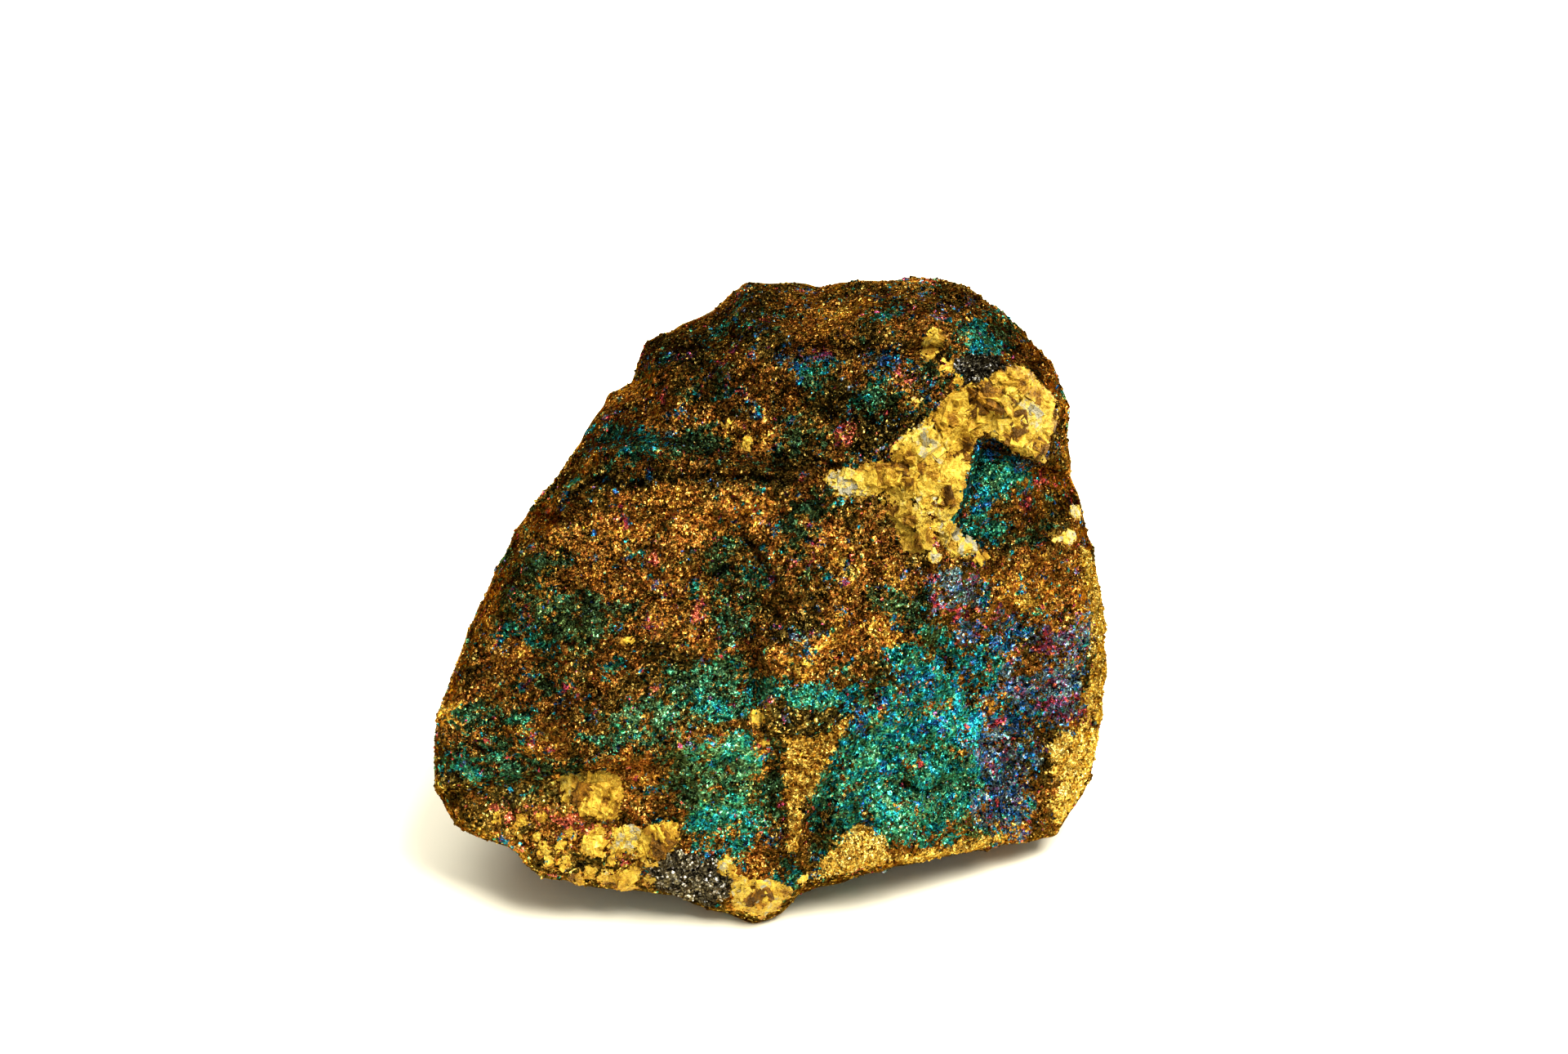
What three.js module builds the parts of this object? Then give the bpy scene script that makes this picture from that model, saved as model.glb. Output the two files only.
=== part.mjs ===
// Peacock ore: one broken chunk of tarnished copper-iron sulphide with stained quartz.
//
// The chunk is a wedge whose broad face leans back. It is shaped in the face's own
// directions: "across" runs left to right, "up" climbs the face and "out" points away
// from it. Each point of the surface lies on a ray from the heart of the stone, at the
// place where the ray leaves a set of broken planes that the rim joins. Ledges, grooves
// and lumps are then raised or sunk along "out". The result stands on a small flat spot.

import * as THREE from "three";
import { mergeVertices } from "three/addons/utils/BufferGeometryUtils.js";

// Driving dimensions, in millimetres and degrees
const faceLean = 38; // how far the broad face leans back from upright
const heartHeight = 17.7; // the heart of the stone above the surface it rests on
const edgeRounding = 26; // exponent that joins the planes: higher is sharper
const gridSpacing = 1.42; // side of a grid cell on the box that the rays pass
const rayBox = { across: 50, up: 47, front: 9, back: 17 };
const restSink = 1.4; // how much of the foot is worn away to a flat spot

// The rim, where the broad face turns over to the back, clockwise from the top left:
// across, up, out
const rim = [
  [-2.2, 24.2, -4.2],
  [2.0, 24.0, -4.4],
  [3.3, 23.6, -4.4],
  [7.0, 24.2, -4.0],
  [12.6, 24.2, -3.5],
  [14.6, 23.8, -3.3],
  [17.6, 21.6, -3.0],
  [21.3, 17.6, -2.0],
  [22.2, 14.8, -1.5],
  [22.3, 9.2, -1.5],
  [23.0, 7.8, -1.8],
  [24.4, 3.0, -2.2],
  [25.4, -2.3, -2.6],
  [25.3, -8.2, -2.8],
  [24.2, -14.2, -3.0],
  [21.8, -18.0, -2.8],
  [12.8, -19.2, 0.4],
  [5.8, -20.6, 2.0],
  [1.8, -21.9, 2.2],
  [0.7, -23.4, 2.2],
  [-1.3, -24.4, 2.4],
  [-4.5, -23.3, 2.8],
  [-8.2, -21.8, 3.2],
  [-12.6, -21.4, 3.6],
  [-17.2, -20.4, 3.6],
  [-19.0, -18.6, 3.4],
  [-23.6, -16.8, 3.0],
  [-25.1, -14.4, 2.8],
  [-25.2, -9.0, 2.4],
  [-22.6, -2.2, 2.2],
  [-19.2, 5.2, 1.2],
  [-15.2, 10.4, 0.0],
  [-12.3, 15.5, -1.6],
  [-10.7, 16.3, -2.0],
  [-9.6, 19.4, -3.0],
  [-4.6, 21.9, -4.0],
];
const rimRise = 1.9; // slope of the turn from the rim up to the broad face
const rimFall = 1.6; // slope of the turn from the rim to the back

// Facets of the broad face: each is the plane out = level + across * x + up * u
const faceFacets = [
  { level: 8.6, across: 0.06, up: -0.1 }, // middle, left of the groove
  { level: 13.6, across: -0.53, up: 0.23 }, // large right facet
  { level: 9.6, across: 0.0, up: -0.22 }, // upper slope
  { level: 20.6, across: 0.42, up: -0.74 }, // receding top left facet
  { level: 14.2, across: -0.06, up: 0.48 }, // foot of the face
  { level: 11.8, across: 0.24, up: 0.02 }, // left flank
  { level: 15.5, across: -0.45, up: -0.1 }, // right shoulder
];

// Broken planes of the other sides: the way they look (right, back, top) and how far
// they lie from the heart
const backFacets = [
  { faces: [0.05, 0.98, -0.12], distance: 17.4 }, // tall back
  { faces: [-0.2, 0.85, 0.48], distance: 24.8 }, // bevel behind the top edge
  { faces: [-0.66, 0.75, -0.1], distance: 17.2 }, // back left
  { faces: [-0.5, 0.52, -0.7], distance: 17.6 }, // back left underside
  { faces: [0.66, 0.75, -0.05], distance: 23.4 }, // back right
  { faces: [0.62, 0.6, -0.5], distance: 19.8 }, // back right underside
  { faces: [-0.6, 0.25, -0.76], distance: 21.4 }, // left underside
  { faces: [0.52, 0.2, -0.83], distance: 23.4 }, // right underside
  { faces: [0.1, 0.85, -0.52], distance: 19.0 }, // back underside
  { faces: [-0.95, 0.3, -0.1], distance: 23.2 }, // left side
  { faces: [0.96, 0.26, -0.1], distance: 25.5 }, // right side
  { faces: [0, 0, -1], distance: heartHeight + restSink }, // foot
];

// Steps of the broad face. The ground on the right-hand side of the path, seen along
// it, drops within "run" and climbs back within "recover". The drop changes evenly from
// its first to its second value along the path
const steps = [
  // overhang above the lower left bulge
  {
    path: [[-25.4, -13.9], [-19.5, -12.6], [-12.4, -11.8], [-6.8, -10.7], [-2.0, -10.5]],
    drop: [3.0, 0.2],
    run: 1.9,
    recover: 7.0,
  },
  // curved step in the middle of the left half
  {
    path: [[-9.4, -2.5], [-6.0, -3.7], [-2.0, -4.3]],
    drop: [0.5, 0.9],
    run: 1.4,
    recover: 5.0,
  },
  // back edge of the middle ledge, with the trough behind it
  {
    path: [[4.6, 7.8], [-0.4, 9.2], [-8.1, 11.0], [-16.0, 10.4]],
    drop: [1.2, 2.3],
    run: 2.2,
    recover: 8.0,
  },
  // upper edge of the sunken facet on the right
  {
    path: [[13.0, 5.4], [15.5, 12.6], [22.2, 9.2]],
    drop: [1.6, 2.2],
    run: 1.8,
    recover: 8.0,
  },
  // ledge above the wedge-shaped facet
  {
    path: [[0.2, -8.8], [6.4, -8.4]],
    drop: [1.6, 1.8],
    run: 1.6,
    recover: 8.0,
  },
];

const stepFade = 3.0; // how far past the ends of its path a step dies away

// Narrow creases and rounded ridges along a path: height is below zero for a crease
const creases = [
  // upright groove between the left and right halves
  {
    path: [[-1.4, 4.4], [-1.0, -1.6], [-0.6, -8.2], [-0.2, -11.3], [0.9, -15.1]],
    height: -0.9,
    width: 0.9,
  },
  // black crack near the top
  { path: [[5.7, 18.1], [11.5, 18.2]], height: -0.7, width: 0.8 },
  // short crack at the left edge
  { path: [[-19.6, 6.1], [-15.7, 6.0]], height: -0.8, width: 0.8 },
  // edge between the wedge-shaped facet and the large right facet
  { path: [[6.2, -9.0], [3.4, -13.2], [1.0, -17.8]], height: 0.6, width: 0.9 },
  // slanting ridge at the top
  { path: [[-3.7, 16.7], [0.8, 18.6], [2.9, 19.7], [4.5, 21.7], [6.6, 23.0]], height: 0.6, width: 1.2 },
];

// Rounded lumps and hollows: place, reach (across, up) and height
const lumps = [
  { at: [-13.2, -14.6], reach: [3.0, 2.2], height: 0.9 }, // quartz, lower left
  { at: [-8.7, -18.2], reach: [2.1, 1.9], height: 0.8 }, // quartz lump at the lower edge
  { at: [-6.4, -20.2], reach: [2.4, 1.5], height: 0.5 }, // dark sulphide at the lower edge
  { at: [-2.4, -21.4], reach: [2.2, 1.8], height: 0.5 }, // quartz at the toe
  { at: [17.8, 14.6], reach: [3.6, 2.6], height: 0.8 }, // stained quartz, upper right
  { at: [10.4, 9.8], reach: [3.4, 2.6], height: 0.6 }, // stained quartz, centre right
  { at: [14.4, 17.4], reach: [2.2, 1.5], height: 0.4 }, // dark sulphide above it
  { at: [-16.0, 0.5], reach: [5.0, 4.0], height: 0.4 }, // swell of the left half
  { at: [2.4, 1.5], reach: [2.6, 5.0], height: 0.5 }, // rib right of the groove
  { at: [8.0, 17.2], reach: [4.5, 1.8], height: -0.5 }, // shallow top hollow
  { at: [2.5, -18.6], reach: [1.6, 2.6], height: -0.6 }, // valley above the toe
];

// Random lumps over the whole stone: spacing and full height
const coarse = { size: 7.0, height: 1.3 };
const fine = { size: 3.1, height: 0.7 };
const backRoughness = 1.6; // the broken back is rougher than the broad face
const reliefStart = 2.2; // height beside the rim over which relief sets in
const footCalm = 5.0; // height above the flat spot over which the roughness sets in

const rimSharpness = 2 ** (-1 / edgeRounding); // keeps the rounded rim on its points
const lean = THREE.MathUtils.degToRad(faceLean);
const acrossDirection = new THREE.Vector3(1, 0, 0);
const upDirection = new THREE.Vector3(0, Math.sin(lean), Math.cos(lean));
const outDirection = new THREE.Vector3(0, -Math.cos(lean), Math.sin(lean));
const faceToWorld = new THREE.Matrix4().makeBasis(acrossDirection, upDirection, outDirection);

function smooth(from, to, value) {
  const t = THREE.MathUtils.clamp((value - from) / (to - from), 0, 1);
  return t * t * (3 - 2 * t);
}

// Radius and depth of the rim on the ray from the heart towards (x, u)
function rimAt(x, u) {
  for (let i = 0; i < rim.length; i += 1) {
    const a = rim[i];
    const b = rim[(i + 1) % rim.length];
    const sideA = x * a[1] - u * a[0];
    const sideB = x * b[1] - u * b[0];
    if (sideA >= 0 && sideB < 0 && x * a[0] + u * a[1] > 0) {
      const t = sideA / (sideA - sideB);
      const rx = a[0] + t * (b[0] - a[0]);
      const ru = a[1] + t * (b[1] - a[1]);
      return { radius: Math.hypot(rx, ru), depth: a[2] + t * (b[2] - a[2]) };
    }
  }
  return { radius: Math.hypot(rim[0][0], rim[0][1]), depth: rim[0][2] };
}

// How many times a direction would have to shrink to reach each limit of the stone
function limitsAlong(x, u, w) {
  const { radius, depth } = rimAt(x, u);
  const share = Math.hypot(x, u) / radius;
  const rise = radius * rimRise;
  const fall = radius * rimFall;
  const limits = [
    (rimSharpness * (share + w / rise)) / (1 + depth / rise),
    (rimSharpness * (share - w / fall)) / (1 - depth / fall),
  ];
  for (const facet of faceFacets) {
    limits.push((w - facet.across * x - facet.up * u) / facet.level);
  }
  const direction = new THREE.Vector3(x, u, w).applyMatrix4(faceToWorld);
  for (const facet of backFacets) {
    const faces = new THREE.Vector3(...facet.faces).normalize();
    limits.push(faces.dot(direction) / facet.distance);
  }
  return limits;
}

// The largest limit wins, and near an edge of two planes both count and round it off
function shrinkNeeded(x, u, w) {
  let sum = 0;
  for (const limit of limitsAlong(x, u, w)) {
    sum += Math.max(limit, 0) ** edgeRounding;
  }
  return sum ** (1 / edgeRounding);
}

// Where (x, u) lies beside a path: its distance, the same with a sign that is above zero
// on the right-hand side, how far past an end it lies, and the share of the path behind it
function besidePath(path, x, u) {
  let nearest = { distance: Infinity, offset: 0 };
  for (let i = 0; i + 1 < path.length; i += 1) {
    const [ax, au] = path[i];
    const [bx, bu] = path[i + 1];
    const length = Math.hypot(bx - ax, bu - au);
    const tx = (bx - ax) / length;
    const tu = (bu - au) / length;
    const along = (x - ax) * tx + (u - au) * tu;
    const held = THREE.MathUtils.clamp(along, 0, length);
    const distance = Math.hypot(x - ax - held * tx, u - au - held * tu);
    const offset = (x - ax) * tu - (u - au) * tx;
    const isTie = Math.abs(distance - nearest.distance) < 1e-9; // both end at one corner
    const isClearer = isTie && Math.abs(offset) > Math.abs(nearest.offset);
    if (isClearer || distance < nearest.distance - 1e-9) {
      const share = (i + held / length) / (path.length - 1);
      const past = share === 0 || share === 1 ? Math.abs(along - held) : 0;
      nearest = { distance, offset, signed: Math.sign(offset) * distance, past, share };
    }
  }
  return nearest;
}

function stepRelief(x, u) {
  let height = 0;
  for (const step of steps) {
    const { signed, past, share } = besidePath(step.path, x, u);
    const drop = THREE.MathUtils.lerp(step.drop[0], step.drop[1], share);
    const down = smooth(0, step.run, signed);
    const back = 1 - smooth(step.run, step.run + step.recover, signed);
    height -= drop * down * back * (1 - smooth(0, stepFade, past));
  }
  return height;
}

function creaseRelief(x, u) {
  let height = 0;
  for (const crease of creases) {
    const { distance } = besidePath(crease.path, x, u);
    height += crease.height * Math.exp(-((distance / crease.width) ** 2));
  }
  return height;
}

function lumpRelief(x, u) {
  let height = 0;
  for (const lump of lumps) {
    const dx = (x - lump.at[0]) / lump.reach[0];
    const du = (u - lump.at[1]) / lump.reach[1];
    height += lump.height * Math.exp(-((dx * dx + du * du) ** 1.5));
  }
  return height;
}

// A repeatable number between 0 and 1 for a corner of the noise lattice
function cornerValue(i, j, k) {
  const value = Math.sin(i * 127.1 + j * 311.7 + k * 74.7) * 43758.5453;
  return value - Math.floor(value);
}

const latticeTurn = new THREE.Matrix4().makeRotationFromEuler(new THREE.Euler(0.5, 0.7, 0.3));
const latticeCorners = [0, 1].flatMap((i) => [0, 1].flatMap((j) => [0, 1].map((k) => [i, j, k])));

// Random lumps, smoothly joined over a turned lattice, as heights above and below zero
function latticeNoise(point, { size, height }) {
  const cell = point.clone().applyMatrix4(latticeTurn).divideScalar(size);
  const base = cell.clone().floor();
  const part = cell.clone().sub(base);
  const shares = [smooth(0, 1, part.x), smooth(0, 1, part.y), smooth(0, 1, part.z)];
  let sum = 0;
  for (const corner of latticeCorners) {
    const weights = corner.map((side, axis) => (side ? shares[axis] : 1 - shares[axis]));
    const value = cornerValue(base.x + corner[0], base.y + corner[1], base.z + corner[2]);
    sum += weights[0] * weights[1] * weights[2] * value;
  }
  return height * (sum - 0.5);
}

// Height above the rim once relief is added. It keeps the order of the heights, so that
// the face never folds over itself, and it leaves the rim where it is
function withRelief(height, relief) {
  if (relief < 0) {
    return (height * height) / (height - relief);
  }
  return height + relief * smooth(0, reliefStart, height);
}

// The point of the stone's surface on the ray from the heart through a point of the box
function surfacePoint(ray) {
  const point = ray.clone().divideScalar(shrinkNeeded(ray.x, ray.y, ray.z));
  const { depth } = rimAt(point.x, point.y);
  const height = point.z - depth;
  const roughness = latticeNoise(point, coarse) + latticeNoise(point, fine);
  if (height > 0) {
    const { x, y } = point;
    const relief = stepRelief(x, y) + creaseRelief(x, y) + lumpRelief(x, y);
    point.z = depth + withRelief(height, relief + roughness);
  } else {
    const outward = point.clone().normalize();
    const aboveFoot = point.clone().applyMatrix4(faceToWorld).z + heartHeight;
    const shareOfRelief = smooth(0, reliefStart, -height) * smooth(0, footCalm, aboveFoot);
    point.addScaledVector(outward, roughness * backRoughness * shareOfRelief);
  }
  point.applyMatrix4(faceToWorld);
  point.z = Math.max(point.z, -heartHeight);
  return point;
}

function stoneGeometry() {
  const depth = rayBox.front + rayBox.back;
  const count = (length) => Math.round(length / gridSpacing);
  const box = new THREE.BoxGeometry(
    rayBox.across,
    rayBox.up,
    depth,
    count(rayBox.across),
    count(rayBox.up),
    count(depth),
  );
  box.translate(0, 0, rayBox.front - depth / 2);
  box.deleteAttribute("normal");
  box.deleteAttribute("uv");
  const stone = mergeVertices(box, 1e-4);
  const corners = stone.getAttribute("position");
  const ray = new THREE.Vector3();
  for (let i = 0; i < corners.count; i += 1) {
    ray.fromBufferAttribute(corners, i);
    const point = surfacePoint(ray);
    corners.setXYZ(i, point.x, point.y, point.z);
  }
  stone.computeVertexNormals();
  return stone;
}

const tarnishedSulphide = new THREE.MeshStandardMaterial({
  name: "tarnished_sulphide",
  color: 0x6b5020,
  roughness: 0.38,
  metalness: 0.8,
});

const oreChunk = new THREE.Mesh(stoneGeometry(), tarnishedSulphide);
oreChunk.name = "ore_chunk";

// The origin lies under the middle of the stone, on the surface that it rests on
oreChunk.geometry.computeBoundingBox();
const middle = oreChunk.geometry.boundingBox.getCenter(new THREE.Vector3());
oreChunk.position.set(-middle.x, -middle.y, heartHeight);

const peacockOre = new THREE.Group();
peacockOre.add(oreChunk);

export default peacockOre;
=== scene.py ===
import math
import bpy
import numpy as np
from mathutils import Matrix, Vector


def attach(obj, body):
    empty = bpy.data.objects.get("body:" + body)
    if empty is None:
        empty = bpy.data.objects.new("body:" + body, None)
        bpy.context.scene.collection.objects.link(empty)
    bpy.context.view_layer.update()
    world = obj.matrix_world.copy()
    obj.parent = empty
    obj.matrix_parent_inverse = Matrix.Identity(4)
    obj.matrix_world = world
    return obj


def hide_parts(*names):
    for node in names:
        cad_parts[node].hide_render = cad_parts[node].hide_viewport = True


# Peacock ore: a broken chunk of tarnished copper-iron sulphide with stained quartz.
# Lengths are millimetres until they are put into a mesh, which is in metres.
# Places on the stone are given in its broad face's own directions: across to the right,
# up along the face, and out of it.

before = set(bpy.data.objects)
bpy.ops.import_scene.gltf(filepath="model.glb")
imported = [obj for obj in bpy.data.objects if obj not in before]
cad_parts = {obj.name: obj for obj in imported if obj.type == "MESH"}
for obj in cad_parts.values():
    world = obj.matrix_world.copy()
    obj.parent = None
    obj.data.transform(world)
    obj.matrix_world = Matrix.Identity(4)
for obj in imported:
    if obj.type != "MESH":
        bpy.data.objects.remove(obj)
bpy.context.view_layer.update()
metre = 0.001

stone = {
    "faceLean": 38.0,  # degrees that the broad face leans back
    "heart": (0.015, -1.18, 17.7),  # where every ray of the shape starts, in the frame
    "viewDistance": 330.0,  # how far away the eye stands that sees the colours line up
    "edgeRounding": 26.0,  # exponent that joins the planes: higher is sharper
    "box": (50.4, 47.4, 9.0, 17.0),  # across, up, front and back of the cushion of rays
    "cells": ((184, 172, 38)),
    "rimRise": 1.9,  # how steeply the face and the back leave the rim, against its radius
    "rimFall": 1.6,
    "reliefStart": 2.2,  # how far from the rim the relief has its full height
    "backRoughness": 1.1,  # of the random lumps behind the rim, against those in front
    "backStart": (2.0, 6.5),  # how far behind the rim its broken planes begin and are full
    "footCalm": 5.0,  # below this the relief fades towards the flat spot
    # the rim, clockwise from the top left: across, up, out
    "rim": [
        (-2.2, 24.2, -4.2), (2.0, 24.0, -4.4), (3.3, 23.6, -4.4), (7.0, 24.2, -4.0),
        (12.6, 24.2, -3.5), (14.6, 23.8, -3.3), (17.6, 21.6, -3.0), (21.3, 17.6, -2.0),
        (22.2, 14.8, -1.5), (22.3, 9.2, -1.5), (23.0, 7.8, -1.8), (24.4, 3.0, -2.2),
        (25.4, -2.3, -2.6), (25.3, -8.2, -2.8), (24.2, -14.2, -3.0), (21.8, -18.0, -2.8),
        (12.8, -19.2, 0.4), (5.8, -20.6, 2.0), (1.8, -21.9, 2.2), (0.7, -23.4, 2.2),
        (-1.3, -24.4, 2.4), (-4.5, -23.3, 2.8), (-8.2, -21.8, 3.2), (-12.6, -21.4, 3.6),
        (-17.2, -20.4, 3.6), (-19.0, -18.6, 3.4), (-23.6, -16.8, 3.0), (-25.1, -14.4, 2.8),
        (-25.2, -9.0, 2.4), (-22.6, -2.2, 2.2), (-19.2, 5.2, 1.2), (-15.2, 10.4, 0.0),
        (-12.3, 15.5, -1.6), (-10.7, 16.3, -2.0), (-9.6, 19.4, -3.0), (-4.6, 21.9, -4.0),
    ],
    # planes of the broad face: level, slope across, slope up
    "faceFacets": [
        (8.6, 0.06, -0.1), (13.6, -0.53, 0.23), (9.6, 0.0, -0.22), (20.6, 0.42, -0.74),
        (14.2, -0.06, 0.48), (11.8, 0.24, 0.02), (15.5, -0.45, -0.1),
    ],
    # planes of the other sides: the way they look (right, back, top), distance
    "backFacets": [
        ((0.05, 0.98, -0.12), 17.4), ((-0.2, 0.85, 0.48), 24.8),
        ((-0.66, 0.75, -0.1), 17.2), ((-0.5, 0.52, -0.7), 17.6),
        ((0.66, 0.75, -0.05), 23.4), ((0.62, 0.6, -0.5), 19.8),
        ((-0.6, 0.25, -0.76), 21.4), ((0.52, 0.2, -0.83), 23.4),
        ((0.1, 0.85, -0.52), 19.0), ((-0.95, 0.3, -0.1), 23.2),
        ((0.96, 0.26, -0.1), 25.5), ((0.0, 0.0, -1.0), 19.1),
    ],
    # steps: path, drop at its start and end, run, recover
    "steps": [
        ([(-25.4, -13.9), (-19.5, -12.6), (-12.4, -11.8), (-6.8, -10.7), (-2.0, -10.5)],
         3.0, 0.2, 1.0, 7.0),
        ([(-9.4, -2.5), (-6.0, -3.7), (-2.2, -4.3)], 0.6, 0.4, 0.6, 5.0),
        ([(4.6, 7.8), (-0.4, 9.2), (-8.1, 11.0), (-16.0, 10.4)], 1.2, 2.3, 1.3, 8.0),
        ([(13.0, 5.4), (15.5, 12.6), (22.2, 9.2)], 1.7, 2.2, 0.6, 8.0),
        ([(0.2, -9.6), (6.4, -9.2)], 0.3, 0.6, 0.6, 8.0),
    ],
    "stepFade": 3.0,  # how far past its ends a step dies out
    # creases and ridges: path, height, width
    "creases": [
        ([(-1.6, 1.4), (-1.4, -1.6), (-1.0, -8.2), (-0.6, -11.3)], -0.2, 0.5),
        ([(-1.5, -1.8), (-1.6, -3.8), (-1.4, -6.4), (-0.8, -9.0)], -0.6, 0.22),
        ([(-2.5, 5.1), (-1.6, 3.9), (-0.9, 2.7)], -0.7, 0.25),
        ([(-5.0, 1.2), (-3.4, 2.4), (-1.8, 2.0)], -0.5, 0.25),
        ([(0.2, -10.6), (0.0, -13.0), (-0.5, -15.6), (-0.4, -17.4)], -0.4, 0.3),
        ([(3.4, -14.4), (4.4, -12.0), (5.4, -10.2)], -0.5, 0.3),
        ([(0.4, 18.2), (2.6, 18.7), (5.0, 18.3), (8.4, 18.1), (12.2, 18.5)], -0.9, 0.4),
        ([(17.4, 18.5), (20.0, 18.2)], -0.7, 0.35),
        ([(-19.6, 6.1), (-17.6, 6.2), (-15.2, 5.8)], -0.9, 0.4),
        ([(-4.8, 9.1), (-1.4, 8.8), (2.2, 8.9)], -0.6, 0.35),
        ([(-14.6, 8.9), (-10.0, 8.7), (-5.0, 9.0)], -0.3, 0.5),
        ([(-15.6, 11.0), (-12.0, 11.1), (-7.6, 10.9)], 0.5, 0.4),
        ([(6.2, -9.0), (3.4, -13.2), (1.0, -17.8)], 0.7, 0.7),
        ([(6.9, -9.6), (4.6, -12.6), (3.0, -16.8)], -0.5, 0.5),
        ([(-3.7, 16.7), (0.8, 18.9), (2.9, 19.7), (4.5, 21.7), (6.6, 23.0)], 0.7, 1.1),
        ([(9.6, 6.6), (11.2, 3.8), (12.4, 1.6)], 0.4, 0.5),
        ([(12.8, 5.2), (15.4, 3.0)], 0.5, 0.6),
    ],
    # lumps and hollows: across, up, reach across, reach up, height
    "lumps": [
        (-13.2, -14.6, 2.6, 1.9, 1.0), (-8.7, -18.2, 1.9, 1.6, 1.0),
        (-6.4, -20.2, 2.4, 1.5, 0.6), (-2.4, -21.4, 2.2, 1.8, 0.6),
        (17.8, 14.6, 3.6, 2.6, 0.8), (10.4, 9.8, 3.4, 2.6, 0.6),
        (14.4, 17.4, 2.2, 1.5, 0.4), (-16.0, 0.5, 5.0, 4.0, 0.4),
        (2.4, 1.5, 2.6, 5.0, 0.5), (8.0, 17.2, 4.5, 1.8, -0.5),
        (2.5, -18.6, 1.6, 2.6, -0.6), (13.7, 11.2, 0.6, 1.0, -0.9),
        (-10.9, -2.8, 0.8, 0.6, 0.4), (2.0, -4.4, 2.0, 1.4, 0.3), (-9.0, 5.0, 3.8, 3.0, 0.4),
        (-19.3, -4.2, 1.2, 1.0, 0.4), (6.0, 16.0, 2.0, 1.2, 0.4), (-0.5, 14.6, 2.2, 1.2, -0.5),
    ],
    "lumpEdge": 1.5,  # power of the spread: higher gives lumps with steeper sides
    # noises, as shift, spacing and full height of each layer
    "rough": [(0.0, 7.0, 1.3), (0.0, 3.1, 0.7)],
    "plates": [(0.0, 5.2, 0.5), (0.0, 2.1, 0.28), (0.0, 1.0, 0.18)],  # broken surface
    "backPlates": [(60.0, 9.0, 1.5), (60.0, 4.2, 0.9)],  # broken planes behind the rim
    "rimRough": [(11.0, 1.6, 0.34), (11.0, 0.8, 0.2)],  # ragged rim
    "pits": [(33.0, 1.7, 1.0)],
    "pitEdge": (0.2, 0.34),
    "pitDepth": 0.45,
    # painted shade in the cracks and at the foot of the steps: drop of a step that holds it all, where
    # on the foot it lies and how far beside it, how far past an end, widest band in a crack, and how
    # much for a crack's depth
    "crackShade": {"fullDrop": 1.5, "foot": (0.2, 0.9, 0.6), "fade": 1.5, "crackWidth": 0.45,
             "crackShare": 1.3},
}

lean = math.radians(stone["faceLean"])
faceToWorld = np.array([
    (1.0, 0.0, 0.0),
    (0.0, math.sin(lean), math.cos(lean)),
    (0.0, -math.cos(lean), math.sin(lean)),
])  # rows are the directions across, up and out


def smooth(low, high, value):
    # 3t^2 - 2t^3 of the share t that value has gone from low to high
    t = np.clip((value - low) / (high - low), 0.0, 1.0)
    return t * t * (3.0 - 2.0 * t)


def rimAt(x, u):
    # where the ray towards (x, u) crosses the rim's outline: radius and depth
    start = np.array(stone["rim"])
    end = np.roll(start, -1, axis=0)
    x, u = x[:, None], u[:, None]
    before, after = (x * place[:, 1] - u * place[:, 0] for place in (start, end))
    ahead = x * start[:, 0] + u * start[:, 1] > 0
    edge = np.argmax((before >= 0) & (after < 0) & ahead, axis=1)
    row = np.arange(len(x))
    before, after = before[row, edge], after[row, edge]
    t = before / np.where(before == after, 1.0, before - after)
    place = start[edge] + t[:, None] * (end[edge] - start[edge])
    return np.hypot(place[:, 0], place[:, 1]), place[:, 2]


def shrinkNeeded(rays):
    # p-norm of how far each ray's point oversteps every plane and both turns of the rim
    x, u, w = rays.T
    radius, depth = rimAt(x, u)
    share = np.hypot(x, u) / radius
    rise = radius * stone["rimRise"]
    fall = radius * stone["rimFall"]
    power = stone["edgeRounding"]
    bothTurns = 2.0 ** (-1.0 / power)  # keeps the rim in place where its two turns meet
    limits = [
        bothTurns * (share + w / rise) / (1.0 + depth / rise),
        bothTurns * (share - w / fall) / (1.0 - depth / fall),
    ]
    for level, across, up in stone["faceFacets"]:
        limits.append((w - across * x - up * u) / level)
    world = rays @ faceToWorld
    for looks, distance in stone["backFacets"]:
        limits.append(world @ (np.array(looks) / np.linalg.norm(looks)) / distance)
    return (np.maximum(limits, 0.0) ** power).sum(axis=0) ** (1.0 / power)


def besidePath(path, x, u):
    # distance from a path, the same with a sign above zero on its right-hand side,
    # how far past an end, and the share of the path that lies behind
    tie = 1e-9  # stretches that are equally near, but for this, meet in a corner of the path
    best = None
    for i, ((ax, au), (bx, bu)) in enumerate(zip(path, path[1:])):
        length = math.hypot(bx - ax, bu - au)
        tx, tu = (bx - ax) / length, (bu - au) / length
        along = (x - ax) * tx + (u - au) * tu
        held = np.clip(along, 0.0, length)
        distance = np.hypot(x - ax - held * tx, u - au - held * tu)
        offset = (x - ax) * tu - (u - au) * tx
        share = (i + held / length) / (len(path) - 1)
        past = np.where((share == 0) | (share == 1), np.abs(along - held), 0.0)
        here = np.array([distance, offset, past, share])
        if best is None:
            best = here
            continue
        clearer = (np.abs(distance - best[0]) < tie) & (np.abs(offset) > np.abs(best[1]))
        best = np.where(clearer | (distance < best[0] - tie), here, best)
    distance, offset, past, share = best
    return distance, np.sign(offset) * distance, past, share


def besideSteps(x, u):
    # for each step: its drop next to a point, the signed distance, how far past an end, its
    # run and its recovery
    for path, dropStart, dropEnd, run, recover in stone["steps"]:
        _, signed, past, share = besidePath(path, x, u)
        yield dropStart + (dropEnd - dropStart) * share, signed, past, run, recover


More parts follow.
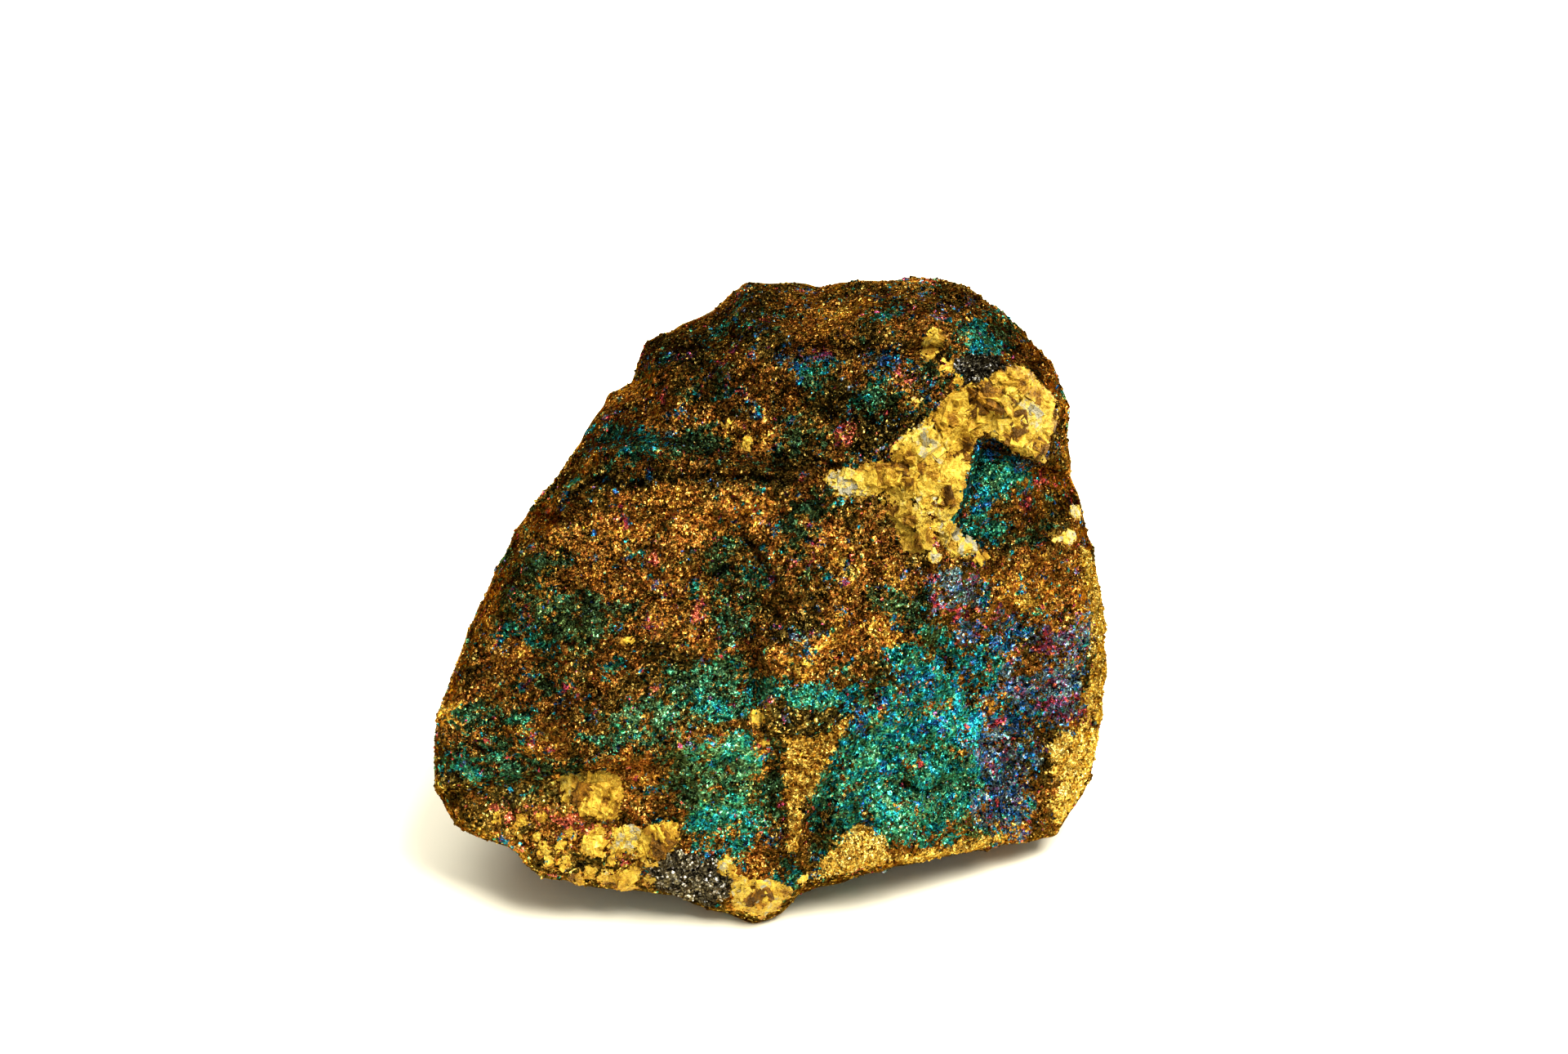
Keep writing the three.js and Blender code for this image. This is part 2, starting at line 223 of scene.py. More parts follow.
def faceRelief(x, u):
    # steps, creases and lumps of the broad face, as heights along out
    height = np.zeros_like(x)
    for drop, signed, past, run, recover in besideSteps(x, u):
        back = 1.0 - smooth(run, run + recover, signed)
        fade = 1.0 - smooth(0.0, stone["stepFade"], past)
        height -= drop * smooth(0.0, run, signed) * back * fade
    for path, tall, width in stone["creases"]:
        height += tall * np.exp(-((besidePath(path, x, u)[0] / width) ** 2))
    for atX, atU, reachX, reachU, tall in stone["lumps"]:
        spread = ((x - atX) / reachX) ** 2 + ((u - atU) / reachU) ** 2
        height += tall * np.exp(-(spread ** stone["lumpEdge"]))
    return height


def creaseShade(x, u):
    # how much painted shade darkens the cracks and the foot of the steps, from 0 to 1
    crackShade = stone["crackShade"]
    shadeAndSeam = np.zeros_like(x)
    footStart, footFull, apron = crackShade["foot"]
    for drop, signed, past, run, _ in besideSteps(x, u):
        deep = np.clip(drop / crackShade["fullDrop"], 0.0, 1.0)
        foot = smooth(footStart * run, footFull * run, signed)
        foot = foot * (1.0 - smooth(run, run + apron, signed))
        shadeAndSeam = np.maximum(shadeAndSeam, deep * deep * foot * (1.0 - smooth(0.0, crackShade["fade"], past)))
    for path, tall, width in stone["creases"]:
        near = np.exp(-((besidePath(path, x, u)[0] / min(width, crackShade["crackWidth"])) ** 2))
        shadeAndSeam = np.maximum(shadeAndSeam, min(1.0, max(0.0, -crackShade["crackShare"] * tall)) * near)
    return shadeAndSeam


lattice = {  # what every noise below is drawn from
    "turn": (0.5, 0.7, 0.3),  # radians about X, Y and Z, so that its layers don't show
    "steps": (127.1, 311.7, 74.7),  # along the sine for one step on each axis
    "stretch": 43758.5453,
    "seedShifts": (0.0, 17.0, 41.0),  # where the draws for a plate's seed, tilt and level lie
    "tiltShifts": (5.0, 29.0, 67.0),
    "levelShift": 83.0,
    "plateTilt": 2.6,
    "plateLevel": 0.4,
}


def turned(a, b, c):
    # turn about X, then Y, then Z, as one matrix
    rx = np.array([(1, 0, 0), (0, math.cos(a), -math.sin(a)), (0, math.sin(a), math.cos(a))])
    ry = np.array([(math.cos(b), 0, math.sin(b)), (0, 1, 0), (-math.sin(b), 0, math.cos(b))])
    rz = np.array([(math.cos(c), -math.sin(c), 0), (math.sin(c), math.cos(c), 0), (0, 0, 1)])
    return rx @ ry @ rz


latticeTurn = turned(*lattice["turn"])


def cornerValue(corner):
    # fraction of a large multiple of a sine: a repeatable number from 0 to 1
    value = np.sin(corner @ np.array(lattice["steps"])) * lattice["stretch"]
    return value - np.floor(value)


def latticeNoise(points, size, height):
    # random corner heights of a turned lattice, joined by 3t^2 - 2t^3 along each axis
    cell = points @ latticeTurn.T / size
    base = np.floor(cell)
    part = smooth(0.0, 1.0, cell - base)
    total = np.zeros(len(points))
    for corner in np.ndindex(2, 2, 2):
        side = np.array(corner)
        weight = np.where(side, part, 1.0 - part).prod(axis=1)
        total += weight * cornerValue(base + side)
    return height * (total - 0.5)


def tiltedPlates(points, size, height):
    # nearest of one random seed in each lattice cell; each seed's cell is a tilted plane
    def drawn(corner, shifts):
        return np.stack([cornerValue(corner + shift) for shift in shifts], axis=1)

    cell = points @ latticeTurn.T / size
    base = np.floor(cell)
    nearest = np.full(len(points), 9.0)
    tall = np.zeros(len(points))
    for offset in np.ndindex(3, 3, 3):
        corner = base + np.array(offset) - 1.0
        away = cell - corner - drawn(corner, lattice["seedShifts"])
        distance = (away ** 2).sum(axis=1)
        tilt = drawn(corner, lattice["tiltShifts"]) - 0.5
        level = lattice["plateLevel"] * (cornerValue(corner + lattice["levelShift"]) - 0.5)
        plane = (away * tilt).sum(axis=1) * lattice["plateTilt"] + level
        closer = distance < nearest
        nearest = np.where(closer, distance, nearest)
        tall = np.where(closer, plane, tall)
    return height * tall


def layered(points, layers, start=0.0, noise=latticeNoise):
    # start plus one noise after another, each told by its shift, spacing and full height
    for shift, spacing, height in layers:
        start = start + noise(points + shift, spacing, height)
    return start


boxSides = [  # first, second and fixed axis, near or far, map turned, its corner and size
    (0, 1, 2, 1, False, 0.0, 0.0, 0.68, 0.66), (1, 0, 2, 0, True, 0.69, 0.0, 0.31, 0.33),
    (1, 2, 0, 1, False, 0.5, 0.84, 0.45, 0.16), (2, 1, 0, 0, False, 0.5, 0.67, 0.45, 0.16),
    (2, 0, 1, 1, True, 0.0, 0.67, 0.49, 0.16), (0, 2, 1, 0, False, 0.0, 0.84, 0.49, 0.16),
]
squareCorners = [(0, 0), (1, 0), (1, 1), (0, 1)]


def boxGrid(counts):
    # the closed skin of a box as a lattice: unique lattice points, quads that look out,
    # and for each quad corner its place in one of the six squares of the map
    quads, maps = [], []
    size = [count + 1 for count in counts]
    for first, second, fixed, far, turnMap, left, low, wide, tall in boxSides:
        n, m = counts[first], counts[second]
        i, j = (g.ravel() for g in np.meshgrid(np.arange(n), np.arange(m), indexing="ij"))
        corners, places = [], []
        for di, dj in squareCorners:
            at = np.full((3, n * m), far * counts[fixed])
            at[first], at[second] = i + di, j + dj
            corners.append(np.ravel_multi_index(at, size))
            along, beside = (i + di) / n, (j + dj) / m
            if turnMap:
                along, beside = beside, along
            places.append(np.stack([left + wide * along, low + tall * beside], axis=1))
        quads.append(np.stack(corners, axis=1))
        maps.append(np.stack(places, axis=1))
    codes, faces = np.unique(np.concatenate(quads), return_inverse=True)
    points = np.stack(np.unravel_index(codes, size), axis=1)
    return points, faces.reshape(-1, 4), np.concatenate(maps)


def cushionRays(share):
    # a box whose front swells like a cushion: out = front * (1 - m^4) with m the larger
    # share of the way to an edge, so that its cells spread evenly over the broad face
    across, up, front, back = stone["box"]
    a, b = 2.0 * share[:, 0] - 1.0, 2.0 * share[:, 1] - 1.0
    m = np.maximum(np.abs(a), np.abs(b))
    w = np.where(share[:, 2] == 1.0, front * (1.0 - m ** 4), -back * (1.0 - share[:, 2]))
    return np.stack([across / 2 * a, up / 2 * b, w], axis=1)


def stoneSurface(rays):
    # each ray leaves the heart and stops at the planes, then relief is added along out on
    # the broad face and along the ray elsewhere; points come back in face directions, with
    # their heights over the rim
    points = rays / shrinkNeeded(rays)[:, None]
    height = points[:, 2] - rimAt(points[:, 0], points[:, 1])[1]
    outward = points / np.linalg.norm(points, axis=1)[:, None]
    rough = layered(points, stone["rough"])
    plates = layered(points, stone["plates"], noise=tiltedPlates)
    pits = -stone["pitDepth"] * smooth(*stone["pitEdge"], layered(points, stone["pits"]))
    relief = faceRelief(points[:, 0], points[:, 1]) + rough + plates + pits
    lifted = height + relief * smooth(0.0, stone["reliefStart"], height)
    sunk = height * height / np.where(relief < 0, height - relief, 1.0)
    newHeight = np.where(height > 0, np.where(relief < 0, sunk, lifted), height)
    aboveFoot = (points @ faceToWorld)[:, 2] + stone["heart"][2]
    calm = smooth(0.0, stone["reliefStart"], -height) * smooth(0.0, stone["footCalm"], aboveFoot)
    chips = layered(points, stone["backPlates"], noise=tiltedPlates)
    chips = chips * smooth(*stone["backStart"], -height)
    behind = (rough * stone["backRoughness"] + chips + plates + pits) * calm
    moved = np.where(height > 0, 0.0, behind) + layered(points, stone["rimRough"])
    points = points + outward * moved[:, None]
    points[:, 2] += newHeight - height
    return points, height


def insideOutline(outline, x, u):
    # signed distance from a closed outline, above zero inside it
    outline = np.array(outline)
    start, end = outline, np.roll(outline, -1, axis=0)
    edge = end - start
    px, pu = x[:, None] - start[:, 0], u[:, None] - start[:, 1]
    t = np.clip((px * edge[:, 0] + pu * edge[:, 1]) / (edge ** 2).sum(axis=1), 0.0, 1.0)
    distance = np.hypot(px - t * edge[:, 0], pu - t * edge[:, 1]).min(axis=1)
    straddles = (start[:, 1] > u[:, None]) != (end[:, 1] > u[:, None])
    rise = np.where(edge[:, 1] == 0, 1.0, edge[:, 1])
    crosses = straddles & (px < edge[:, 0] * pu / rise)
    return np.where(crosses.sum(axis=1) % 2 == 1, distance, -distance)


minerals = {
    # noises, as shift, spacing and full height of each layer
    "broken": [(330.0, 0.9, 1.4), (340.0, 0.45, 0.8)],  # breaks up the edge of the quartz
    "spotLoose": 0.35,
    "quartzClouds": [(180.0, 2.6, 0.5), (210.0, 1.1, 0.3)],
    "quartzTone": 0.66,
    "amberTone": 0.12,
    "amberEdge": (0.8, 1.15),
    "backQuartz": ([(120.0, 9.0, 6.0)], -1.45),  # behind the rim: layers, and what they add to
    "backGold": ([(150.0, 7.0, 5.0)], -2.0),
    "lightReach": 0.3,  # how far outside their outlines dark and gold crumbs keep their light
    "glowReach": 0.2,
    # outlines, as the eye in front of the broad face sees them: across, up
    "quartz": [
        [(16.9, 17.4), (18.6, 17.4), (19.3, 16.8), (20.0, 16.1), (20.9, 15.2), (21.2, 13.4),
         (20.6, 12.4), (20.2, 10.2), (17.9, 11.3), (15.6, 12.6), (15.1, 11.9), (14.5, 9.9),
         (14.0, 7.9), (13.4, 6.4), (12.9, 5.8), (11.3, 6.6), (10.2, 7.8), (9.1, 8.4),
         (7.6, 7.8), (5.9, 7.8), (4.9, 7.9), (3.9, 8.9), (4.4, 9.8), (6.0, 9.7), (7.2, 10.3),
         (8.8, 10.1), (8.7, 11.3), (9.5, 12.2), (10.8, 12.9), (11.5, 13.7), (12.5, 14.3),
         (12.7, 15.1), (14.5, 15.9), (15.8, 16.4)],
        [(-16.3, -13.6), (-14.9, -12.8), (-13.6, -12.7), (-12.2, -13.0), (-11.5, -13.7),
         (-11.3, -15.1), (-11.7, -16.5), (-12.6, -16.4), (-14.2, -16.1), (-15.6, -14.9)],
        [(-4.1, -19.4), (-3.2, -21.5), (-3.1, -22.8), (-0.9, -23.9), (1.2, -22.1), (1.3, -21.5),
         (0.5, -21.0), (-0.5, -21.5), (-2.2, -20.7), (-3.2, -19.9)],
        [(-10.4, -17.4), (-9.0, -16.9), (-7.6, -16.6), (-6.7, -17.6), (-7.4, -18.6),
         (-9.0, -19.4), (-10.4, -19.8), (-10.0, -18.6)],
        [(11.0, 6.6), (12.9, 5.9), (14.6, 4.9), (16.1, 3.1), (15.3, 2.8), (13.8, 3.5),
         (12.7, 4.0), (12.2, 5.0)],
        [(8.3, 8.4), (9.3, 8.4), (10.2, 7.6), (11.2, 6.5), (10.8, 5.4), (11.3, 4.3), (11.0, 3.5),
         (10.0, 3.7), (9.2, 4.7), (8.9, 6.0), (8.3, 7.2)],
    ],
    "quartzLight": [0.79, 0.93, 0.91, 0.94, 0.78, 0.56],  # how bright each of them is
    "quartzLoose": [0.1, 0.5, 0.5, 0.8, 0.8, 1.3],  # how much each breaks up among the ore
    "quartzSpots": [  # across, up, reach
        (-13.6, -18.4, 0.8), (-17.1, -18.7, 0.5), (-19.0, -16.5, 0.5), (-11.2, -21.1, 0.8),
        (-10.8, -17.8, 0.9), (11.8, 19.0, 0.8), (12.9, 17.3, 0.6), (13.7, 16.3, 0.4),
        (-2.0, 11.8, 0.4), (-3.4, 13.2, 0.3), (-10.9, -2.9, 0.4), (2.2, -21.0, 0.4),
        (-1.2, -8.8, 0.35), (-0.8, -10.7, 0.35), (22.6, 6.5, 0.45), (22.0, 4.6, 0.45),
        (21.0, 4.4, 0.35), (12.0, 3.2, 0.4), (-13.2, -17.4, 0.4), (-15.2, -17.6, 0.35),
        (-17.8, -17.6, 0.3), (-12.2, -19.6, 0.45), (-15.9, -19.6, 0.4), (-9.4, -21.0, 0.4),
        (-18.9, -17.6, 0.25), (-13.9, -20.4, 0.5), (10.6, 14.7, 0.3), (-11.4, -18.4, 0.8),
        (-11.8, -17.4, 0.4), (-14.7, -20.9, 0.35), (-16.8, -19.4, 0.35), (-12.6, -20.8, 0.4),
        (-17.4, -16.4, 0.3), (-16.2, -18.4, 0.3), (-10.4, -20.4, 0.5), (-20.6, -16.2, 0.25),
    ],
    "amberQuartz": [  # across, up, reach: clearer brown grains
        (15.2, 14.9, 0.9), (19.3, 14.9, 0.5), (18.2, 13.2, 0.5), (10.1, 9.6, 0.6),
        (13.6, 11.6, 0.4), (13.9, 11.0, 0.5), (14.2, 10.4, 0.35), (16.6, 15.2, 0.7),
        (20.2, 11.2, 0.6), (12.4, 7.6, 0.5), (9.0, 10.2, 0.5), (-14.6, -14.8, 0.8),
        (-1.6, -22.4, 0.6), (-8.6, -18.4, 0.7), (17.6, 11.9, 0.5), (11.9, 12.9, 0.4),
    ],
    "paleQuartz": [  # across, up, reach: where it is frosted nearly white
        (14.4, 4.4, 1.6), (22.2, 5.4, 1.6), (10.8, 12.0, 0.9), (4.8, 8.6, 0.9), (12.0, 3.2, 0.8),
        (21.1, 15.2, 0.9), (-10.9, -2.9, 0.6), (-10.9, -18.0, 0.8), (-12.6, -20.4, 0.6),
    ],
    "dark": [
        [(13.7, 17.9), (15.4, 18.4), (16.8, 17.9), (17.1, 17.1), (16.3, 16.3), (15.4, 15.9),
         (14.2, 16.2), (13.6, 17.0)],
        [(-9.6, -19.9), (-8.4, -19.3), (-7.4, -18.8), (-6.2, -19.2), (-5.1, -19.6),
         (-3.8, -19.9), (-3.3, -21.0), (-3.3, -21.8), (-4.3, -22.9), (-5.4, -22.8),
         (-6.7, -22.3), (-8.1, -21.8), (-9.1, -21.0)],
    ],
    "darkLight": [0.55, 1.2],  # how bright each dark and each gold outline is
    "goldLight": [1.0, 0.95, 0.92, 0.72, 0.9],
    "goldTone": [0.5, 0.5, 0.3, 0.4, 0.4],  # lower is browner
    "gold": [
        [(20.4, -10.4), (21.8, -10.2), (23.5, -9.4), (24.6, -10.1), (24.2, -12.1),
         (23.4, -14.1), (22.3, -15.9), (21.4, -16.9), (20.7, -15.9), (20.5, -15.1),
         (21.4, -14.6), (21.7, -13.8), (21.0, -13.4), (21.0, -12.3)],
        [(6.2, -16.8), (7.4, -17.1), (8.2, -17.9), (8.4, -18.7), (9.5, -19.4), (5.4, -20.5),
         (2.7, -20.9), (3.8, -19.5), (4.5, -18.5)],
        [(1.1, -10.3), (3.0, -10.1), (4.6, -9.6), (5.3, -8.6), (5.9, -8.7), (4.9, -10.4),
         (4.3, -11.6), (3.2, -13.6), (2.6, -14.9), (1.9, -15.4), (2.0, -16.8), (1.7, -19.0),
         (1.1, -18.6), (1.2, -16.4), (0.8, -15.0), (1.1, -12.4)],
        [(22.6, 3.8), (23.6, 3.6), (24.7, 0.4), (25.1, -2.6), (25.1, -6.0), (24.6, -9.4),
         (23.3, -9.4), (23.5, -7.2), (24.0, -4.6), (23.9, -2.6), (23.5, 0.4)],
        [(9.0, -19.4), (11.8, -18.8), (15.0, -18.0), (17.2, -17.8), (15.6, -18.7), (12.6, -19.2),
         (10.0, -19.8)],
    ],
}

# tarnish of the ore and the light of the face: painted light and shade lie in the brightness of the
# patches, the sheen of the rim and the shade of the cracks
tarnishAndLight = {
    # where each family of colour lies on the ramp of its layer
    "base": {"umber": 0.08, "olive": 0.20, "bronze": 0.46, "rust": 0.58, "copper": 0.72,
             "gold": 0.86},
    "film": {"coral": -0.1, "pink": 0.08, "magenta": 0.17, "violet": 0.27, "lilac": 0.37,
             "blue": 0.50, "cyan": 0.64, "teal": 0.74, "green": 0.86, "moss": 0.97},
    "plain": {  # what holds where no patch is strong
        "light": 0.85, "weight": 0.25, "oreTone": 0.44, "oreWeight": 0.3,
        "filmTone": 0.90, "filmWeight": 0.10,
    },
    "oreStray": 0.5,  # how far the clouds move the ore's colour within a patch
    "against": (0.95, 0.15),  # how strongly ore patches and bare ground keep the film off
    "blotches": (1.8, 2.6),  # spacing and strength of the blotches where patches compete
    "blotchShift": 7.0,  # between the blotches of two patches
    # for each part of the face: across, up, reach across, reach up, family, brightness, strength; the
    # brightness is the ore's own lightness with painted light and shade, darker where a facet turns
    # from the light and lighter on lit edges
    "patches": [
        # dark facet at the top left, its shade painted as it turns from the light
        (-6.5, 19.5, 5.5, 3.6, "olive", 0.40, 1.2), (-6.0, 16.6, 4.5, 1.8, "moss", 0.42, 1.0),
        (-2.5, 20.6, 2.6, 1.8, "teal", 0.32, 0.8), (-0.5, 22.4, 3.0, 1.2, "bronze", 0.50, 0.8),
        (-6.0, 14.6, 3.4, 1.0, "rust", 0.42, 0.8), (-9.6, 14.4, 2.2, 0.8, "rust", 0.48, 0.8),
        (-11.4, 15.6, 1.6, 0.6, "gold", 1.10, 1.4), (-7.4, 12.5, 1.8, 0.9, "blue", 0.30, 0.9),
        (-11.2, 12.0, 2.6, 1.1, "teal", 0.38, 1.4), (-5.4, 11.4, 3.0, 1.1, "moss", 0.50, 1.0),
        (-2.2, 12.6, 1.8, 1.6, "gold", 0.55, 0.8), (-4.4, 18.7, 0.6, 0.4, "blue", 0.50, 1.0),
        # ridge along the top
        (0.4, 19.1, 1.8, 0.6, "bronze", 0.85, 1.2), (3.2, 20.4, 2.0, 0.8, "copper", 0.80, 1.0),
        (5.0, 21.4, 2.6, 1.0, "gold", 0.60, 0.9), (8.0, 22.6, 3.0, 0.9, "bronze", 0.65, 0.9),
        (6.4, 19.8, 2.8, 1.6, "rust", 0.58, 1.0), (9.3, 21.6, 1.8, 0.8, "teal", 0.42, 1.5),
        (10.6, 21.5, 0.8, 0.5, "pink", 0.80, 0.8), (9.6, 19.4, 2.4, 1.3, "rust", 0.60, 0.9),
        (12.8, 21.6, 2.2, 1.4, "rust", 0.60, 0.9), (14.5, 22.6, 2.4, 0.9, "umber", 0.80, 0.9),
        (15.6, 19.6, 1.8, 1.6, "teal", 0.42, 1.8), (14.0, 19.4, 0.5, 0.6, "cyan", 0.90, 1.4),
        (17.8, 20.0, 1.6, 1.4, "moss", 0.40, 0.9), (19.4, 18.4, 1.6, 1.0, "rust", 0.45, 0.9),
        # blue hollow and the dark slope beside it
        (1.6, 17.9, 1.6, 0.6, "blue", 0.38, 1.6), (4.0, 18.3, 1.4, 0.5, "violet", 0.42, 1.2),
        (3.0, 16.9, 1.8, 1.0, "teal", 0.32, 1.4), (1.4, 16.4, 1.2, 0.6, "blue", 0.40, 1.2),
        (-0.8, 17.0, 2.0, 0.9, "rust", 0.60, 0.9), (0.6, 15.0, 3.2, 1.0, "rust", 0.40, 0.9),
        (5.8, 17.0, 1.2, 0.9, "copper", 0.80, 0.9), (8.6, 17.4, 1.6, 0.8, "blue", 0.44, 1.2),
        (7.0, 14.8, 1.8, 1.2, "teal", 0.38, 1.3), (9.9, 16.0, 0.9, 0.6, "pink", 1.50, 1.4),
        (5.0, 15.4, 1.6, 1.2, "umber", 0.60, 0.8), (6.0, 12.7, 0.6, 1.4, "pink", 0.90, 1.0),
        (8.6, 12.8, 1.6, 1.2, "umber", 0.60, 0.8), (10.0, 14.2, 1.4, 1.4, "moss", 0.45, 1.0),
        (12.0, 16.6, 1.2, 1.0, "moss", 0.50, 0.8), (2.0, 12.4, 2.6, 1.4, "moss", 0.42, 1.1),
        (3.0, 11.0, 1.4, 1.0, "rust", 0.55, 0.9), (-1.4, 10.2, 1.8, 0.8, "moss", 0.45, 0.9),
        # painted shade on the band and painted light on its lit edge across the left
        (-10.4, 10.2, 5.0, 0.6, "rust", 0.50, 1.4), (-8.0, 9.2, 6.0, 0.5, "umber", 0.50, 1.0),
        (-14.6, 8.0, 2.4, 1.0, "umber", 0.75, 0.9), (-4.8, 9.2, 1.6, 0.6, "gold", 0.80, 0.8),
        (-9.4, 7.6, 3.2, 0.9, "gold", 0.80, 1.1), (-5.4, 6.9, 1.8, 1.3, "copper", 1.30, 1.0),
        (-3.6, 6.6, 0.9, 0.9, "pink", 0.80, 0.5), (-14.5, 6.9, 2.2, 1.0, "rust", 0.60, 0.9),
        # bronze middle of the left half
        (-9.0, 4.8, 3.0, 2.6, "bronze", 1.25, 1.5), (-11.2, 5.5, 1.2, 0.7, "gold", 1.00, 1.0),
        (-17.0, 5.2, 1.8, 0.8, "bronze", 1.00, 1.1), (-14.0, 4.2, 2.0, 1.2, "rust", 0.60, 0.8),
        (-15.6, 3.0, 2.6, 1.1, "moss", 0.55, 0.8), (-18.2, 2.4, 2.6, 0.9, "moss", 0.48, 1.4),
        (-11.4, 3.2, 0.7, 0.8, "lilac", 0.60, 0.9), (-7.4, 1.4, 2.4, 1.8, "copper", 0.80, 0.9),
        (-6.0, 0.6, 0.9, 1.2, "teal", 0.60, 0.9), (-8.0, -0.8, 2.0, 1.2, "rust", 0.72, 0.9),
        (-8.6, -2.6, 2.4, 0.9, "bronze", 0.86, 1.0), (-11.6, -3.0, 1.5, 1.0, "bronze", 0.90, 0.8),
        (-13.4, 1.2, 2.2, 1.2, "rust", 0.65, 0.8), (-5.2, -2.8, 1.2, 0.9, "gold", 1.00, 0.8),
        # dark green left edge
        (-16.0, -1.0, 4.6, 2.2, "moss", 0.48, 1.4), (-17.0, -2.6, 3.6, 1.4, "teal", 0.38, 0.7),
        (-15.6, -0.7, 0.5, 0.5, "blue", 1.00, 1.2), (-12.6, -1.2, 2.0, 1.6, "moss", 0.55, 0.9),
        (-12.0, -5.2, 1.8, 0.9, "teal", 0.30, 0.6), (-22.0, -3.4, 1.4, 1.0, "bronze", 0.95, 0.9),
        (-20.6, -5.0, 2.4, 0.8, "rust", 0.90, 0.9), (-19.2, -4.4, 0.8, 0.6, "gold", 1.30, 1.2),
        (-18.0, -5.8, 3.2, 0.9, "moss", 0.58, 1.1), (-16.2, -7.2, 3.0, 1.1, "rust", 0.62, 1.1),
        (-22.0, -6.8, 1.6, 0.8, "copper", 0.95, 0.9), (-21.4, -8.8, 2.4, 1.2, "green", 0.55, 1.5),
        (-24.0, -8.0, 0.8, 0.9, "gold", 1.50, 1.4), (-19.0, -9.4, 0.5, 0.5, "gold", 1.40, 1.6),
        (-12.0, -7.6, 2.0, 1.2, "bronze", 0.80, 0.7), (-13.6, -7.6, 0.8, 0.8, "teal", 0.50, 1.0),
        (-16.4, -0.4, 0.3, 0.5, "gold", 2.00, 1.4),
        # middle, with the golden streaks
        (-4.4, 3.4, 1.6, 2.6, "moss", 0.65, 1.2), (-2.0, 2.0, 1.6, 1.2, "teal", 0.58, 1.0),
        (-1.0, 6.6, 1.2, 1.6, "copper", 1.05, 0.9), (0.6, 5.2, 0.8, 1.6, "rust", 0.90, 0.8),
        (1.8, 4.6, 1.3, 1.8, "moss", 0.60, 1.3), (3.2, 7.2, 1.2, 1.1, "moss", 0.36, 1.4),
        (2.6, 2.8, 1.6, 1.0, "rust", 0.65, 0.9), (5.8, 5.4, 1.2, 1.4, "bronze", 1.00, 0.9),
        (5.4, 1.8, 1.0, 3.0, "gold", 0.75, 1.0), (4.4, -0.6, 1.4, 1.0, "gold", 0.95, 0.9),
        (7.2, 3.6, 1.4, 1.6, "rust", 0.60, 0.8), (0.6, 0.0, 1.8, 1.4, "rust", 0.62, 1.0),
        (2.4, -1.8, 1.4, 0.9, "umber", 0.80, 0.8), (-3.4, -1.6, 1.6, 1.6, "green", 0.60, 1.0),
        (-1.6, 0.2, 1.0, 1.4, "moss", 0.60, 0.9), (3.2, -3.0, 0.9, 0.7, "gold", 1.25, 1.3),
        (2.0, -4.8, 1.6, 0.9, "copper", 0.98, 1.3), (8.2, -2.8, 1.6, 0.9, "gold", 1.15, 1.2),
        (6.0, -3.6, 2.0, 1.2, "bronze", 0.80, 0.9), (5.4, -5.6, 1.6, 0.8, "rust", 0.75, 0.8),
        (9.0, 0.0, 1.6, 1.2, "moss", 0.80, 0.8), (9.6, 1.8, 1.2, 0.9, "gold", 0.95, 0.8),
        (9.2, 4.0, 1.0, 0.8, "rust", 0.70, 0.9), (11.4, 5.4, 0.5, 0.9, "magenta", 0.60, 1.2),
        (11.8, 2.6, 1.0, 0.8, "olive", 1.10, 1.0),
        # small teal band, and the green shelf left of the crack
        (3.0, -6.8, 2.6, 0.7, "teal", 0.90, 2.4), (5.0, -6.8, 0.8, 0.5, "cyan", 1.05, 1.8),
        (0.2, -6.9, 1.2, 0.8, "teal", 0.80, 1.8), (-4.4, -4.5, 1.8, 0.5, "green", 1.00, 1.8),
        (-4.6, -6.2, 2.4, 1.6, "green", 0.85, 1.8), (-3.2, -7.8, 2.2, 1.4, "teal", 0.90, 1.8),
        (-8.6, -8.8, 2.6, 1.2, "green", 1.10, 1.8), (-12.8, -10.4, 2.0, 0.6, "teal", 0.90, 1.4),
        (-10.0, -10.6, 3.4, 0.8, "green", 0.70, 1.6), (-16.4, -10.4, 2.2, 0.8, "gold", 0.65, 1.1),
        (-20.2, -10.8, 2.4, 0.9, "green", 0.68, 1.6), (-22.6, -12.6, 1.6, 0.8, "teal", 0.60, 1.6),
        (-21.0, -12.2, 2.4, 0.8, "green", 0.60, 1.4), (-17.0, -12.4, 3.2, 0.6, "moss", 0.60, 1.2),
        (-1.0, -8.9, 2.8, 0.5, "olive", 0.95, 1.4), (3.0, -8.7, 3.0, 0.9, "olive", 2.40, 1.8),
        (-4.0, -9.4, 2.6, 0.5, "olive", 0.80, 1.0), (-1.2, -8.9, 0.5, 0.4, "gold", 1.10, 1.6),
        (-0.8, -10.6, 0.5, 0.6, "gold", 1.00, 1.6), (-5.2, -10.2, 1.4, 0.6, "gold", 0.90, 1.1),
        # grey teal slope under it
        (-2.4, -11.2, 1.6, 1.6, "teal", 1.45, 3.2), (-3.8, -13.4, 2.4, 2.2, "green", 1.55, 3.6),
        (-3.0, -16.6, 2.4, 1.8, "teal", 1.45, 3.8), (-6.2, -14.0, 1.4, 2.4, "moss", 1.30, 2.0),
        (-8.6, -14.2, 0.5, 0.5, "cyan", 1.30, 1.8), (-5.2, -14.8, 0.5, 0.5, "cyan", 1.20, 1.6),
        (-4.4, -14.2, 0.6, 0.5, "copper", 1.10, 1.6), (-5.6, -18.9, 0.7, 0.7, "cyan", 1.20, 2.0),
        (-1.4, -18.4, 1.6, 1.0, "rust", 0.75, 1.1), (0.2, -13.4, 0.7, 2.6, "moss", 0.50, 2.0),
        (-0.4, -16.8, 0.6, 1.0, "rust", 0.75, 0.9), (-0.2, -18.2, 0.4, 0.6, "blue", 1.00, 1.6),
        (-1.0, -20.2, 1.6, 0.8, "copper", 1.05, 1.3), (1.2, -20.6, 1.0, 0.8, "teal", 0.62, 1.8),
